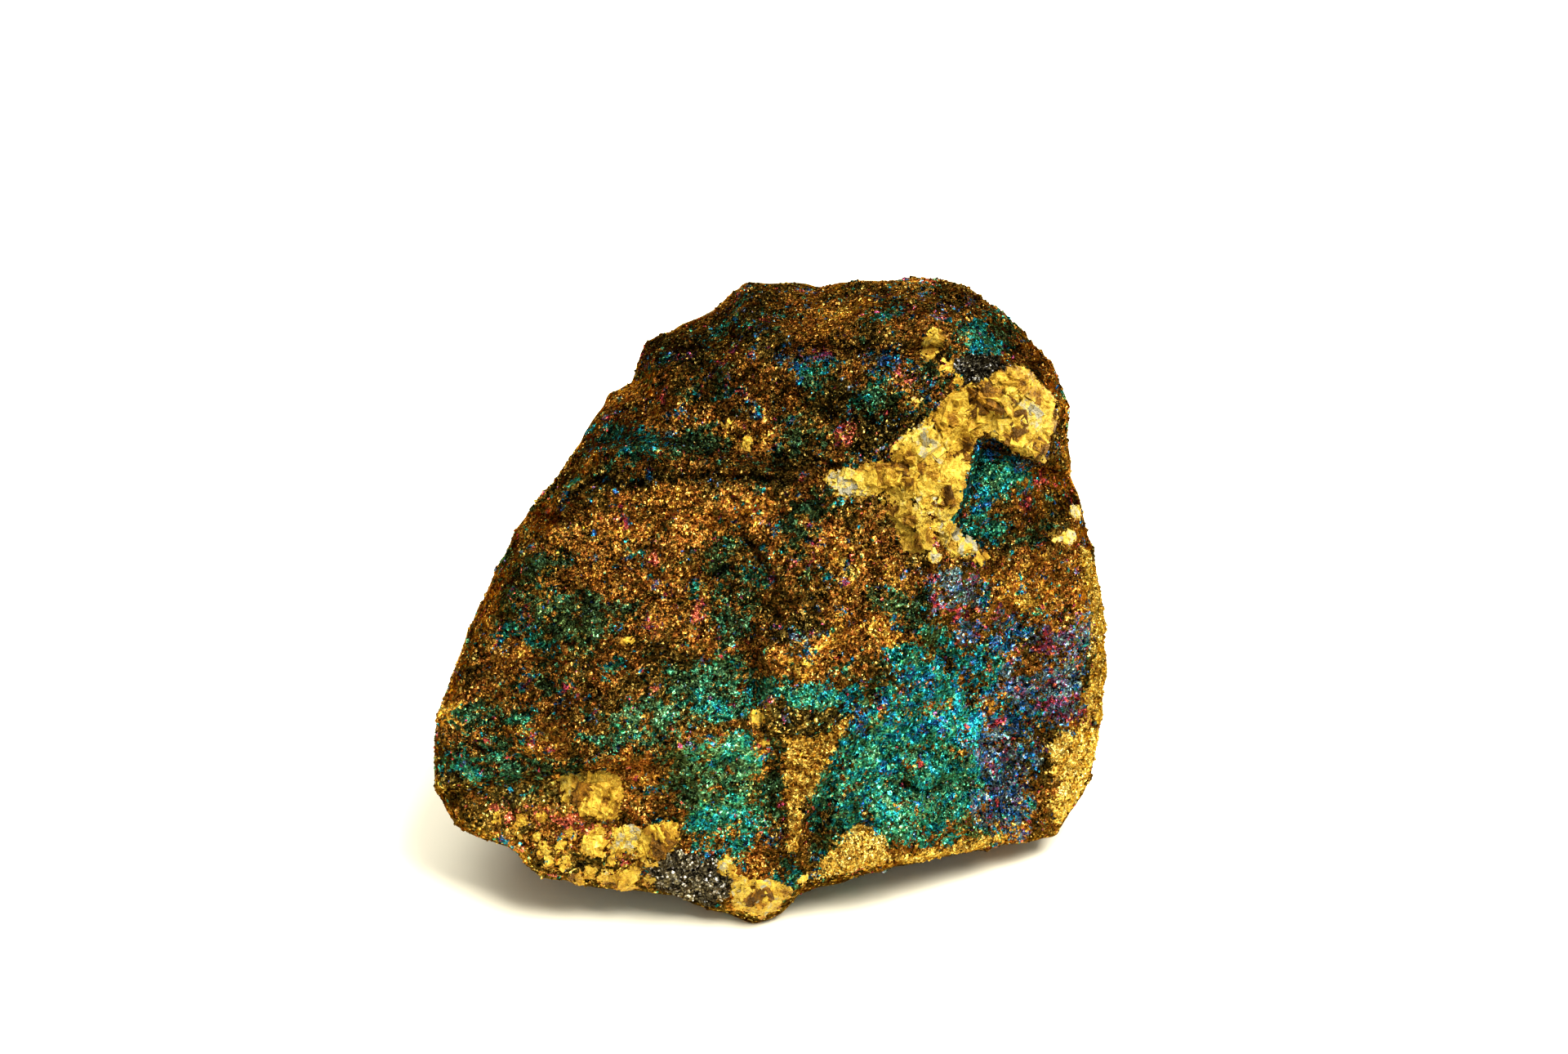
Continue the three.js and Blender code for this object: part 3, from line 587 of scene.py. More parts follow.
        (2.2, -18.6, 1.2, 1.2, "rust", 0.85, 0.9), (3.6, -18.4, 0.8, 1.0, "moss", 0.50, 1.4),
        # coarse red and yellow foot at the lower left, brightened by painted light under the ledge
        (-22.5, -14.6, 2.4, 0.8, "olive", 2.00, 1.2), (-18.6, -15.6, 2.6, 0.9, "copper", 1.40, 1.1),
        (-20.0, -16.0, 1.6, 0.9, "coral", 0.85, 1.2), (-16.2, -16.4, 2.2, 0.9, "coral", 0.85, 1.6),
        (-13.0, -17.0, 1.4, 0.6, "coral", 0.75, 1.2), (-18.0, -14.4, 3.0, 0.8, "olive", 3.00, 1.8),
        (-14.4, -17.6, 2.6, 0.8, "copper", 1.50, 0.9),
        (-20.4, -16.8, 2.0, 0.9, "olive", 2.30, 1.2), (-15.5, -19.8, 4.5, 1.1, "olive", 2.90, 1.4),
        (-10.2, -13.4, 1.3, 1.4, "copper", 1.15, 1.1), (-9.2, -15.6, 1.4, 1.0, "rust", 1.10, 0.9),
        (-11.4, -17.2, 0.7, 0.6, "blue", 0.50, 1.0), (-12.8, -18.8, 0.8, 0.6, "umber", 0.40, 1.0),
        # bright cyan and teal facet, with the dark slope of painted shade that parts it from the
        # streaks
        (8.6, -9.6, 2.4, 3.2, "cyan", 1.05, 3.0), (11.6, -8.4, 2.6, 3.0, "cyan", 1.00, 3.0),
        (10.8, -5.2, 1.4, 1.0, "cyan", 1.10, 2.6), (14.2, -9.8, 1.1, 1.3, "cyan", 1.85, 3.0),
        (9.0, -8.7, 0.8, 0.9, "cyan", 1.80, 2.6), (12.4, -7.6, 0.9, 0.8, "cyan", 1.60, 2.6),
        (8.0, -13.0, 3.4, 3.0, "teal", 0.92, 3.0), (12.4, -13.4, 2.8, 3.2, "teal", 1.00, 3.0),
        (11.4, -15.4, 0.9, 0.9, "teal", 1.80, 2.6), (5.6, -14.4, 2.0, 2.8, "teal", 0.75, 2.6),
        (9.6, -17.2, 2.6, 1.2, "teal", 0.95, 2.4), (7.0, -16.4, 0.5, 0.9, "blue", 0.95, 2.4),
        (6.6, -9.4, 0.8, 1.4, "blue", 0.32, 2.4), (4.9, -12.2, 0.9, 1.5, "teal", 0.36, 2.4),
        (7.4, -6.4, 0.9, 1.0, "moss", 0.40, 1.6), (15.4, -5.2, 1.6, 1.3, "cyan", 0.75, 2.0),
        (10.8, -1.6, 1.6, 1.6, "moss", 0.62, 1.4), (12.6, -3.0, 2.0, 1.1, "teal", 0.52, 1.6),
        (9.6, -4.2, 1.2, 0.8, "teal", 0.60, 1.2),
        # grey, blue and violet beside it
        (15.6, -10.6, 0.8, 1.2, "blue", 1.20, 2.2), (16.8, -9.0, 0.8, 0.3, "magenta", 1.80, 3.0),
        (15.8, -9.3, 0.5, 0.5, "blue", 1.90, 2.2), (17.6, -11.6, 1.8, 2.0, "lilac", 0.75, 2.6),
        (18.6, -9.0, 2.2, 1.4, "blue", 0.55, 1.8), (16.9, -14.4, 3.0, 2.6, "lilac", 0.88, 2.5),
        (14.6, -12.8, 1.5, 1.8, "blue", 0.80, 2.2), (19.8, -13.4, 1.4, 1.6, "rust", 0.70, 0.9),
        (18.4, -16.4, 2.2, 1.0, "copper", 0.90, 1.1), (20.4, -16.4, 1.4, 0.9, "rust", 0.85, 0.9),
        (14.6, -16.8, 2.0, 1.2, "moss", 0.80, 1.4), (20.4, -11.6, 0.8, 1.2, "umber", 0.60, 1.0),
        (21.6, -8.4, 1.8, 1.2, "violet", 1.00, 2.2), (18.8, -6.4, 2.4, 1.2, "lilac", 0.90, 2.2),
        (21.6, -6.0, 1.6, 1.2, "lilac", 1.00, 2.2), (18.6, -4.4, 1.4, 0.8, "copper", 1.10, 0.9),
        (20.8, -3.2, 2.0, 1.1, "violet", 0.75, 1.5), (22.8, -2.4, 1.2, 1.2, "lilac", 1.35, 2.2),
        (17.6, -2.4, 1.6, 0.9, "blue", 0.60, 1.2), (14.6, -2.0, 1.6, 0.9, "lilac", 0.90, 1.5),
        (13.4, 0.8, 1.8, 1.4, "lilac", 0.85, 1.6), (14.6, 1.6, 1.4, 1.0, "violet", 0.60, 0.8),
        (12.6, 0.2, 1.2, 0.9, "violet", 0.80, 1.2), (16.7, -1.3, 0.8, 0.6, "magenta", 1.20, 1.6),
        (15.5, 0.3, 0.4, 0.3, "blue", 2.00, 2.4), (16.8, 0.6, 1.6, 1.0, "gold", 1.00, 0.9),
        (14.4, -0.9, 1.0, 0.6, "pink", 0.90, 0.6),
        # copper red right edge
        (21.4, 0.6, 2.6, 1.6, "copper", 0.80, 1.4), (19.0, 1.4, 1.6, 1.2, "rust", 0.75, 1.0),
        (22.4, 2.4, 1.6, 1.2, "rust", 0.85, 1.1), (20.6, 3.2, 2.0, 0.8, "rust", 0.70, 1.0),
        (17.4, 3.2, 1.2, 0.8, "bronze", 0.80, 0.8), (21.4, -1.0, 1.4, 0.6, "lilac", 0.90, 0.9),
        # sunken facet beside the quartz
        (16.2, 11.2, 1.6, 0.7, "cyan", 0.70, 3.0), (18.6, 10.2, 1.6, 0.6, "blue", 0.66, 2.6),
        (16.4, 9.6, 2.0, 1.2, "teal", 0.48, 2.4), (16.6, 10.1, 0.6, 0.3, "pink", 0.80, 1.6),
        (14.7, 7.8, 0.9, 1.2, "cyan", 0.60, 2.2), (13.8, 6.2, 0.6, 0.6, "cyan", 1.10, 2.4),
        (14.0, 5.3, 0.5, 0.4, "magenta", 0.90, 1.6), (15.4, 5.4, 1.6, 1.4, "teal", 0.42, 1.8),
        (17.2, 8.2, 1.4, 0.8, "teal", 0.42, 2.0), (18.2, 6.8, 2.0, 1.1, "rust", 0.45, 2.0),
        (19.0, 4.9, 1.8, 0.8, "moss", 0.50, 1.4), (20.4, 8.8, 0.7, 0.5, "pink", 0.90, 1.6),
        (21.2, 8.6, 0.8, 1.4, "rust", 0.70, 1.1), (21.6, 11.6, 0.8, 1.6, "umber", 1.20, 1.0),
        (21.8, 6.6, 0.9, 1.0, "umber", 0.38, 1.6), (20.8, 4.6, 1.4, 0.7, "bronze", 0.85, 1.0),
        (16.4, 4.2, 1.4, 0.5, "umber", 0.45, 1.4),
    ],
    # noises, as shift, spacing and full height of each layer
    "raggedness": [(0.0, 2.4, 1.5), (0.0, 0.9, 1.3)],  # moves the edges of the patches about
    "ragShift": 40.0,  # between the noises for across and for up
    "oreClouds": [(90.0, 2.6, 0.6), (70.0, 1.1, 0.4)],
    "filmClouds": [(60.0, 3.4, 0.16)],
    "mottle": [(300.0, 1.7, 0.9), (300.0, 0.75, 0.9)],  # lighter and darker spots
    "clumps": [(350.0, 0.95, 0.55), (350.0, 0.5, 0.4)],  # thicker and thinner film
    "shimmer": [(370.0, 0.8, 0.2)],  # the film's small changes of colour
    "flecks": [(400.0, 1.2, 1.0), (400.0, 0.5, 0.9)],  # small films on the bare ore
    "fleckClouds": [(430.0, 1.9, 1.5)],
    "backFilm": [(240.0, 6.4, 1.1)],
    "backClouds": [(260.0, 4.6, 1.0)],
    "shadeAndSeamStray": [(15.0, 0.9, 0.7), (25.0, 0.45, 0.4)],
    "rimClouds": ([(20.0, 2.5, 1.0)], 0.75),
    "thinning": (0.3, 0.55),  # thinner cover than this is left at this share
    "fleckCover": (0.2, 0.3, 0.62),  # where flecks start, over how much they grow, full cover
    "backCover": (0.02, 0.16, 0.72),  # the same for the film behind the rim
    "fleckTone": (-0.05, 0.42, 0.86),  # lowest, middle and highest
    "filmLow": -0.12,  # lowest tone of a film
    "backTone": 0.62,
    "backLight": 0.8,
    "turnOver": (-1.5, 0.5),  # heights over the rim between which the back gives way to the face
    "crumbTurnOver": (-2.5, 0.0),
    "rimWidth": 0.8,  # thin band where the face turns over: fresher ore, lit brighter by a painted sheen
    "rimTone": 0.18,
    "rimLight": 2.6,
    "rimBare": 0.8,  # how little film grows on it
    "bareRim": (0.5, 1.3),  # how far below the rim crumbs are scarcest, and how widely
    # how far the painted shade of the cracks and steps, and the dark seam beside the quartz, darken the
    # light
    "shadeAndSeamDepth": 0.5,
    "seam": (0.3, 0.28, 0.5),  # dark line beside the quartz: how far off, width, stray
    "seamDark": 0.8,
}


farOff = 3.0  # a distance well past every edge between two minerals


def frontAndBack(front, back, shown):
    # the face's value where it is shown, the back's elsewhere
    return front * shown + back * (1.0 - shown)


def painted(values, distances, tones, reach):
    # the tone of the last outline that a point lies in, or next to within reach
    for distance, tone in zip(distances, tones):
        values = np.where(distance > -reach, tone, values)
    return values


def quartzReach(points, x, u, distances):
    # signed distance to the quartz: its broken outlines and its loose spots
    broken = layered(points, minerals["broken"])
    quartz = np.max([distance + loose * broken for distance, loose
                     in zip(distances, minerals["quartzLoose"])], axis=0)
    for atX, atU, reach in minerals["quartzSpots"]:
        spot = reach - np.hypot(x - atX, u - atU) + minerals["spotLoose"] * broken
        quartz = np.maximum(quartz, spot)
    return quartz


def quartzTones(points, seenX, seenU, x, u):
    # where the quartz lies on its ramp: clouds, frosted places and clear brown grains
    tone = layered(points, minerals["quartzClouds"], minerals["quartzTone"])
    for atX, atU, reach in minerals["paleQuartz"]:
        pale = np.exp(-((x - atX) ** 2 + (u - atU) ** 2) / reach ** 2)
        tone = tone + pale * (1.0 - tone)
    for atX, atU, reach in minerals["amberQuartz"]:
        near = np.hypot(seenX - atX, seenU - atU) / reach
        amber = 1.0 - smooth(*minerals["amberEdge"], near)
        tone = tone - amber * (tone - minerals["amberTone"])
    return np.clip(tone, 0, 1)


def patchFields(points, x, u, shown):
    # light and ore tone as means weighted by the patches, the tone of the strongest film,
    # and how far it covers the ore
    plain = tarnishAndLight["plain"]
    spacing, strength = tarnishAndLight["blotches"]
    ground = layered(points, tarnishAndLight["oreClouds"], plain["oreTone"])
    filmTone = layered(points, tarnishAndLight["filmClouds"], plain["filmTone"])
    filmBest = np.full(len(x), plain["filmWeight"])
    light = np.full(len(x), plain["weight"] * plain["light"])
    total = np.full(len(x), plain["weight"])
    oreTotal = np.full(len(x), plain["oreWeight"])
    oreTone = plain["oreWeight"] * ground
    for number, (atX, atU, reachX, reachU, family, bright, power) in enumerate(tarnishAndLight["patches"]):
        weight = power * shown * np.exp(-((x - atX) / reachX) ** 2 - ((u - atU) / reachU) ** 2)
        light += weight * bright
        total += weight
        if family in tarnishAndLight["base"]:
            stray = tarnishAndLight["oreStray"] * (ground - plain["oreTone"])
            oreTone += weight * (tarnishAndLight["base"][family] + stray)
            oreTotal += weight
            continue
        blotchy = latticeNoise(points + tarnishAndLight["blotchShift"] * number, spacing, strength)
        blotchy = weight * np.exp(blotchy)
        wins = blotchy > filmBest
        filmBest = np.where(wins, blotchy, filmBest)
        filmTone = np.where(wins, tarnishAndLight["film"][family], filmTone)
    oreShare, bareShare = tarnishAndLight["against"]
    cover = filmBest / (filmBest + oreShare * oreTotal + bareShare)
    return light / total, oreTone / oreTotal, filmTone, cover


def filmFields(points, shown, tone, cover):
    # tone and cover of the film: blotches behind the rim, clumps, and flecks on bare ore
    start, run, full = tarnishAndLight["backCover"]
    behind = full * smooth(start, start + run, layered(points, tarnishAndLight["backClouds"]))
    cover = frontAndBack(cover, behind, shown)
    behind = layered(points, tarnishAndLight["backFilm"], tarnishAndLight["backTone"])
    tone = frontAndBack(tone, behind, shown)
    tone = np.clip(tone + layered(points, tarnishAndLight["shimmer"]), tarnishAndLight["filmLow"], 1)
    thin, thinner = tarnishAndLight["thinning"]
    cover = np.where(cover > thin, cover, cover * thinner)
    cover = cover + layered(points, tarnishAndLight["clumps"]) * smooth(0.0, thin, cover)
    start, run, full = tarnishAndLight["fleckCover"]
    flecks = full * shown * smooth(start, start + run, layered(points, tarnishAndLight["flecks"]))
    low, middle, high = tarnishAndLight["fleckTone"]
    fleckTone = np.clip(layered(points, tarnishAndLight["fleckClouds"], middle), low, high)
    return np.where(flecks > cover, fleckTone, tone), np.maximum(cover, flecks)


def mineralFields(points, height):
    # for each point signed distances to the minerals, above zero inside them, tones on the
    # ramps, cover of the film, light, painted shade of the cracks and step feet joined with the dark
    # seam beside the quartz, and nearness of the rim; they are laid out where the eye sees the point,
    # and behind the rim random blotches take over
    distance = stone["viewDistance"]
    seenX, seenU = (points[:, :2] * (distance / (distance - points[:, 2]))[:, None]).T
    x = layered(points, tarnishAndLight["raggedness"], seenX)
    u = layered(points + tarnishAndLight["ragShift"], tarnishAndLight["raggedness"], seenU)
    shown = smooth(*tarnishAndLight["turnOver"], height)
    within = {name: [insideOutline(outline, seenX, seenU) for outline in minerals[name]]
              for name in ("quartz", "dark", "gold")}
    quartz = quartzReach(points, seenX, seenU, within["quartz"])

    # painted shade in the cracks and at the feet of the steps, with the dark seam beside the quartz,
    # darkens the light
    stray = layered(points, tarnishAndLight["shadeAndSeamStray"])
    seam, seamWidth, seamStray = tarnishAndLight["seam"]
    seam = np.exp(-(((quartz + seam + seamStray * stray) / seamWidth) ** 2))
    shadeAndSeam = creaseShade(points[:, 0] + stray, points[:, 1] + stray)
    shadeAndSeam = np.maximum(shadeAndSeam, tarnishAndLight["seamDark"] * seam) * shown
    keptLight = 1.0 - tarnishAndLight["shadeAndSeamDepth"] * shadeAndSeam
    quartz = frontAndBack(quartz, layered(points, *minerals["backQuartz"]), shown)

    light, oreTone, filmTone, cover = patchFields(points, x, u, shown)
    filmTone, cover = filmFields(points, shown, filmTone, cover)
    rimBand = np.exp(-((height / tarnishAndLight["rimWidth"]) ** 2))
    rimBand = np.clip(rimBand * layered(points, *tarnishAndLight["rimClouds"]), 0.0, 1.0)
    oreTone = np.clip(oreTone + rimBand * (tarnishAndLight["rimTone"] - oreTone), 0, 1)
    quartzTone = quartzTones(points, seenX, seenU, x, u)

    light = frontAndBack(light, tarnishAndLight["backLight"], shown)
    light = light * keptLight * np.exp(layered(points, tarnishAndLight["mottle"]))
    # painted sheen: the band along the rim is lit far brighter than the face
    light = light + rimBand * (tarnishAndLight["rimLight"] - light)
    for name in ("dark", "gold"):
        own = [bright * keptLight for bright in minerals[name + "Light"]]
        light = painted(light, within[name], own, minerals["lightReach"])
    glow = painted(1.0, within["quartz"], minerals["quartzLight"], minerals["glowReach"]) * keptLight
    goldTone = painted(0.5, within["gold"], minerals["goldTone"], minerals["lightReach"])
    rim, rimWidth = tarnishAndLight["bareRim"]
    return {
        "quartz": quartz,
        "dark": frontAndBack(np.max(within["dark"], axis=0), -farOff, shown),
        "gold": frontAndBack(np.max(within["gold"], axis=0),
                             layered(points, *minerals["backGold"]), shown),
        "baseTone": np.where(quartz > 0.0, quartzTone, oreTone),
        "goldTone": goldTone,
        "filmTone": filmTone,
        "cover": cover * (1.0 - tarnishAndLight["rimBare"] * rimBand),
        "light": np.where(quartz > 0.0, glow, light),
        "shadeAndSeam": shadeAndSeam,
        "rim": np.exp(-(((height + rim) / rimWidth) ** 2)),
        "shown": smooth(*tarnishAndLight["crumbTurnOver"], height),
    }


def linked(name, data):
    # an object that shows the data, put into the scene
    thing = bpy.data.objects.new(name, data)
    bpy.context.scene.collection.objects.link(thing)
    return thing


def meshFrom(name, corners, faces, smoothShaded=True):
    mesh = bpy.data.meshes.new(name)
    mesh.from_pydata(corners * metre, [], faces)
    mesh.polygons.foreach_set("use_smooth", np.full(len(faces), smoothShaded))
    mesh.update()
    return linked(name, mesh)


def dress(piece, fields, repeats, places):
    # gives the mesh the fields that its material reads, and its map
    for name, values in fields.items():
        if name not in ("shadeAndSeam", "rim", "shown"):
            field = piece.data.attributes.new(name, "FLOAT", "POINT")
            field.data.foreach_set("value", np.repeat(values, repeats).astype(np.float32))
    bakeMap = piece.data.uv_layers.new(name="OFBake")
    bakeMap.data.foreach_set("uv", places.ravel())


def makeStone():
    # returns the piece, its corners, its faces and the fields that the crumbs are sown by
    gridPoints, faces, places = boxGrid(stone["cells"])
    points, height = stoneSurface(cushionRays(gridPoints / np.array(stone["cells"])))
    fields = mineralFields(points, height)
    corners = points @ faceToWorld + np.array(stone["heart"])
    corners[:, 2] = np.maximum(corners[:, 2], 0.0)
    piece = meshFrom("stone_body", corners, faces)
    dress(piece, fields, 1, places)
    return piece, corners, faces, fields


print("shaping the stone")
stoneBody, stoneCorners, stoneFaces, stoneFields = makeStone()
print("stone corners", len(stoneBody.data.vertices), "faces", len(stoneBody.data.polygons))


fineOre = ("tarnished_sulphide", "sulphide", "front", 15500, 0.13, 0.34, 3.5, 0.36, False)
crumbs = {
    "least": 0.6,  # no crumb is sown lower than this above the flat spot
    "lowest": 0.02,  # and no corner of one is lower than this
    "seed": 400,
    # name, slot, mineral, side, number, least size, size range, skew, sunk share, flat
    "kinds": [
        ("sulphide_crumbs_first", *fineOre),
        ("sulphide_crumbs_second", *fineOre),
        ("sulphide_crumbs_third", *fineOre),
        ("gold_crumbs", "tarnished_sulphide", "gold", "front", 3000, 0.15, 0.36, 3.0, 0.34, False),
        ("quartz_grains", "stained_quartz", "quartz", "front", 4500, 0.25, 1.2, 2.4, 0.1, True),
        ("dark_fragments", "dark_sulphide", "dark", "front", 420, 0.30, 0.60, 2.0, 0.26, False),
        ("back_crumbs", "tarnished_sulphide", "any", "back", 10000, 0.24, 0.44, 3.2, 0.46, False),
    ],
    "blockSides": (0.36, 1.2),  # shortest and longest side of a block, against its size
    "plateSides": ((0.7, 0.7, 0.2), (1.3, 1.3, 0.45)),  # the same for a plate, side by side
    "push": 0.28,  # how far the corners are pushed about
    "flatTilt": 0.09,  # how far a grain that lies flat still leans
    "quartzEdge": (0.2, 1.1),  # quartz grains at the outline, and how fast they grow from it
    "shadeBare": 0.6,  # how much fewer crumbs lie in the cracks and along the rim
    "rimBare": 0.92,
    # how far ore grains and quartz grains stray
    "toneStray": (0.12, 0.07),
    "lightStray": (0.20, 0.08),
    "coverStray": 0.16,
    "filmStray": 0.05,
    "motley": (0.37, 0.14, 0.16),  # film tone where the grains differ most, its width, and how much
    "strangers": (0.10, 0.6, 1.2),  # share of the crumbs with any film, the same where bare, cover
    "share": 1.0,
}


def sown(weights, count, draws):
    # picks faces at random, each by the area times the weight of it, and a place in each
    a, b, c, d = (stoneCorners[stoneFaces[:, i]] for i in range(4))
    cross = np.cross(c - a, d - b)
    area = np.linalg.norm(cross, axis=1) / 2
    ladder = np.cumsum(area * weights)
    picked = np.searchsorted(ladder, draws.random(count) * ladder[-1])
    s, t = draws.random((2, count, 1))
    place = (a[picked] * (1 - s) + b[picked] * s) * (1 - t) + (d[picked] * (1 - s) + c[picked] * s) * t
    return picked, place, cross[picked] / (2 * area[picked, None])


def randomTurns(count, draws):
    # turning matrices from four random numbers of length one
    q = draws.normal(size=(count, 4))
    w, x, y, z = (q / np.linalg.norm(q, axis=1, keepdims=True)).T
    rows = [1 - 2 * (y * y + z * z), 2 * (x * y - w * z), 2 * (x * z + w * y),
            2 * (x * y + w * z), 1 - 2 * (x * x + z * z), 2 * (y * z - w * x),
            2 * (x * z - w * y), 2 * (y * z + w * x), 1 - 2 * (x * x + y * y)]
    return np.stack(rows, axis=1).reshape(count, 3, 3)


def flatTurns(outward, draws):
    # turning matrices whose third axis looks nearly out of the surface
    def unit(vectors):
        return vectors / np.linalg.norm(vectors, axis=1, keepdims=True)

    up = unit(outward + crumbs["flatTilt"] * draws.normal(size=outward.shape))
    side = unit(np.cross(up, draws.normal(size=up.shape)))
    return np.stack([side, np.cross(up, side), up], axis=2)


def brokenBlocks(places, outward, sizes, flat, draws):
    # each is a cube, its sides drawn at random and its corners pushed about, turned at
    # random or lying flat as a low plate
    count = len(places)
    cube, sides, _ = boxGrid((1, 1, 1))
    least, most = crumbs["plateSides" if flat else "blockSides"]
    shape = (cube * 2.0 - 1.0) * draws.uniform(least, most, (count, 3))[:, None, :]
    shape = shape + draws.uniform(-crumbs["push"], crumbs["push"], (count, len(cube), 3))
    turns = flatTurns(outward, draws) if flat else randomTurns(count, draws)
    shape = np.einsum("nij,nkj->nki", turns, shape) * sizes[:, None, None] / 2
    corners = (shape + places[:, None, :]).reshape(-1, 3)
    faces = (sides[None] + len(cube) * np.arange(count)[:, None, None]).reshape(-1, 4)
    return corners, faces


def crumbMap(count):
    # a square of the map for each block, parted into a little field for each of six sides,
    # with a tenth of it kept free all round
    wide = math.ceil(math.sqrt(count))
    block, field = np.arange(count), np.arange(6)
    cell = np.stack([block % wide, block // wide], axis=1)[:, None, None, :]
    field = np.stack([field % 3, field // 3], axis=1)[None, :, None, :]
    corner = np.array(squareCorners)[None, None, :, :] * 0.8 + 0.1
    return (cell + (field + corner) / np.array([3, 2])) / wide


def crumbWeights(mineral, side):
    # where a kind of crumb grows, as a number for each face of the stone
    at = {name: values[stoneFaces[:, 0]] for name, values in stoneFields.items()}
    inQuartz, inDark, inGold = at["quartz"] > 0.05, at["dark"] > 0.0, at["gold"] > 0.0
    grows = {
        "sulphide": ~(inQuartz | inDark | inGold), "gold": inGold & ~inQuartz & ~inDark,
        "quartz": inQuartz, "dark": inDark & ~inQuartz, "any": True,
    }
    weights = (at["shown"] if side == "front" else 1.0 - at["shown"]) * grows[mineral]
    weights = weights * (1.0 - crumbs["shadeBare"] * at["shadeAndSeam"])
    weights = weights * (1.0 - crumbs["rimBare"] * at["rim"])
    return weights * (stoneCorners[stoneFaces[:, 0], 2] > crumbs["least"])


def makeCrumbs(number, kind):
    name, slot, mineral, side, count, least, sizeRange, skew, sunk, flat = kind
    draws = np.random.default_rng(crumbs["seed"] + number)
    count = int(count * crumbs["share"])
    picked, place, outward = sown(crumbWeights(mineral, side), count, draws)
    at = {key: values[stoneFaces[picked, 0]] for key, values in stoneFields.items()}
    sizes = least + sizeRange * draws.random(count) ** skew
    if mineral == "quartz":  # grains near the outline are small, so that it stays crisp
        edgeSize, growth = crumbs["quartzEdge"]
        sizes = np.minimum(sizes, edgeSize + growth * at["quartz"])
    place = place - outward * (sizes * sunk)[:, None]
    corners, faces = brokenBlocks(place, outward, sizes, flat, draws)
    corners[:, 2] = np.maximum(corners[:, 2], crumbs["lowest"])

    own = int(mineral == "quartz")  # which of the two strays holds
    at["baseTone"] = at["baseTone"] + draws.normal(0, crumbs["toneStray"][own], count)
    tone, width, more = crumbs["motley"]
    stray = crumbs["filmStray"] + more * np.exp(-(((at["filmTone"] - tone) / width) ** 2))
    at["filmTone"] = at["filmTone"] + draws.normal(0, 1, count) * stray
    at["cover"] = at["cover"] + draws.normal(0, crumbs["coverStray"], count)
    share, bareShare, cover = crumbs["strangers"]
    stranger = draws.random(count) < share * (bareShare + at["cover"])
    at["filmTone"] = np.where(stranger, draws.random(count), at["filmTone"])
    at["cover"] = np.where(stranger, cover, at["cover"])
    at["light"] = at["light"] * np.exp(draws.normal(0.0, crumbs["lightStray"][own], count))
    at["sheer"] = np.ones(count)
    for key in ("quartz", "dark", "gold"):
        at[key] = np.where(at[key] > 0, farOff, -farOff)
    piece = meshFrom(name, corners, faces, smoothShaded=False)
    dress(piece, at, len(corners) // count, crumbMap(count))
    return piece, slot, mineral


print("sowing the crumbs")
crumbPieces = [makeCrumbs(number, kind) for number, kind in enumerate(crumbs["kinds"])]


class Wire:
    # one output socket of a material's node tree, with arithmetic that adds Math nodes
    def __init__(self, tree, socket):
        self.tree, self.socket = tree, socket

    def joined(self, operation, first, second):
        return nodeOf(self.tree, "ShaderNodeMath", {"operation": operation}, {0: first, 1: second})

    def __add__(self, other):
        return self.joined("ADD", self, other)

    def __radd__(self, other):
        return self.joined("ADD", other, self)

    def __sub__(self, other):
        return self.joined("SUBTRACT", self, other)

    def __rsub__(self, other):
        return self.joined("SUBTRACT", other, self)

    def __mul__(self, other):
        return self.joined("MULTIPLY", self, other)

    def __rmul__(self, other):
        return self.joined("MULTIPLY", other, self)

    def __gt__(self, other):
        return self.joined("GREATER_THAN", self, other)


def nodeOf(tree, kind, settings=None, inputs=None, output=0):
    # adds a node, sets what it is told to be, then gives its sockets values or wires
    node = tree.nodes.new(kind)
    for key, value in (settings or {}).items():
        if key == "stops":
            ramp = node.color_ramp
            while len(ramp.elements) < len(value):
                ramp.elements.new(0.5)
            for element, (position, colour) in zip(ramp.elements, value):
                element.position, element.color = position, colour
        else:
            setattr(node, key, value)
    for key, value in (inputs or {}).items():
        if isinstance(value, Wire):
            tree.links.new(value.socket, node.inputs[key])
        else:
            node.inputs[key].default_value = value
    return Wire(tree, node.outputs[output]) if len(node.outputs) else None


def mixed(factor, first, second):
    return nodeOf(factor.tree, "ShaderNodeMix", {"data_type": "RGBA"},
                  {0: factor, 6: first, 7: second}, output=2)


def between(value, low, high):
    # 0 below low, 1 above high, smooth in between
    return nodeOf(value.tree, "ShaderNodeMapRange", {"interpolation_type": "SMOOTHSTEP"},
                  {0: value, 1: low, 2: high, 3: 0.0, 4: 1.0})


def shade(red, green, blue):
    # a colour given as 0 to 255 screen values, as the linear one that a shader takes
    def linear(value):
        value /= 255.0
        return value / 12.92 if value <= 0.04045 else ((value + 0.055) / 1.055) ** 2.4
    return (linear(red), linear(green), linear(blue), 1.0)


def emptyMaterial(name):
    material = bpy.data.materials.new(name)
    material.use_nodes = True
    material.node_tree.nodes.clear()
    return material, material.node_tree


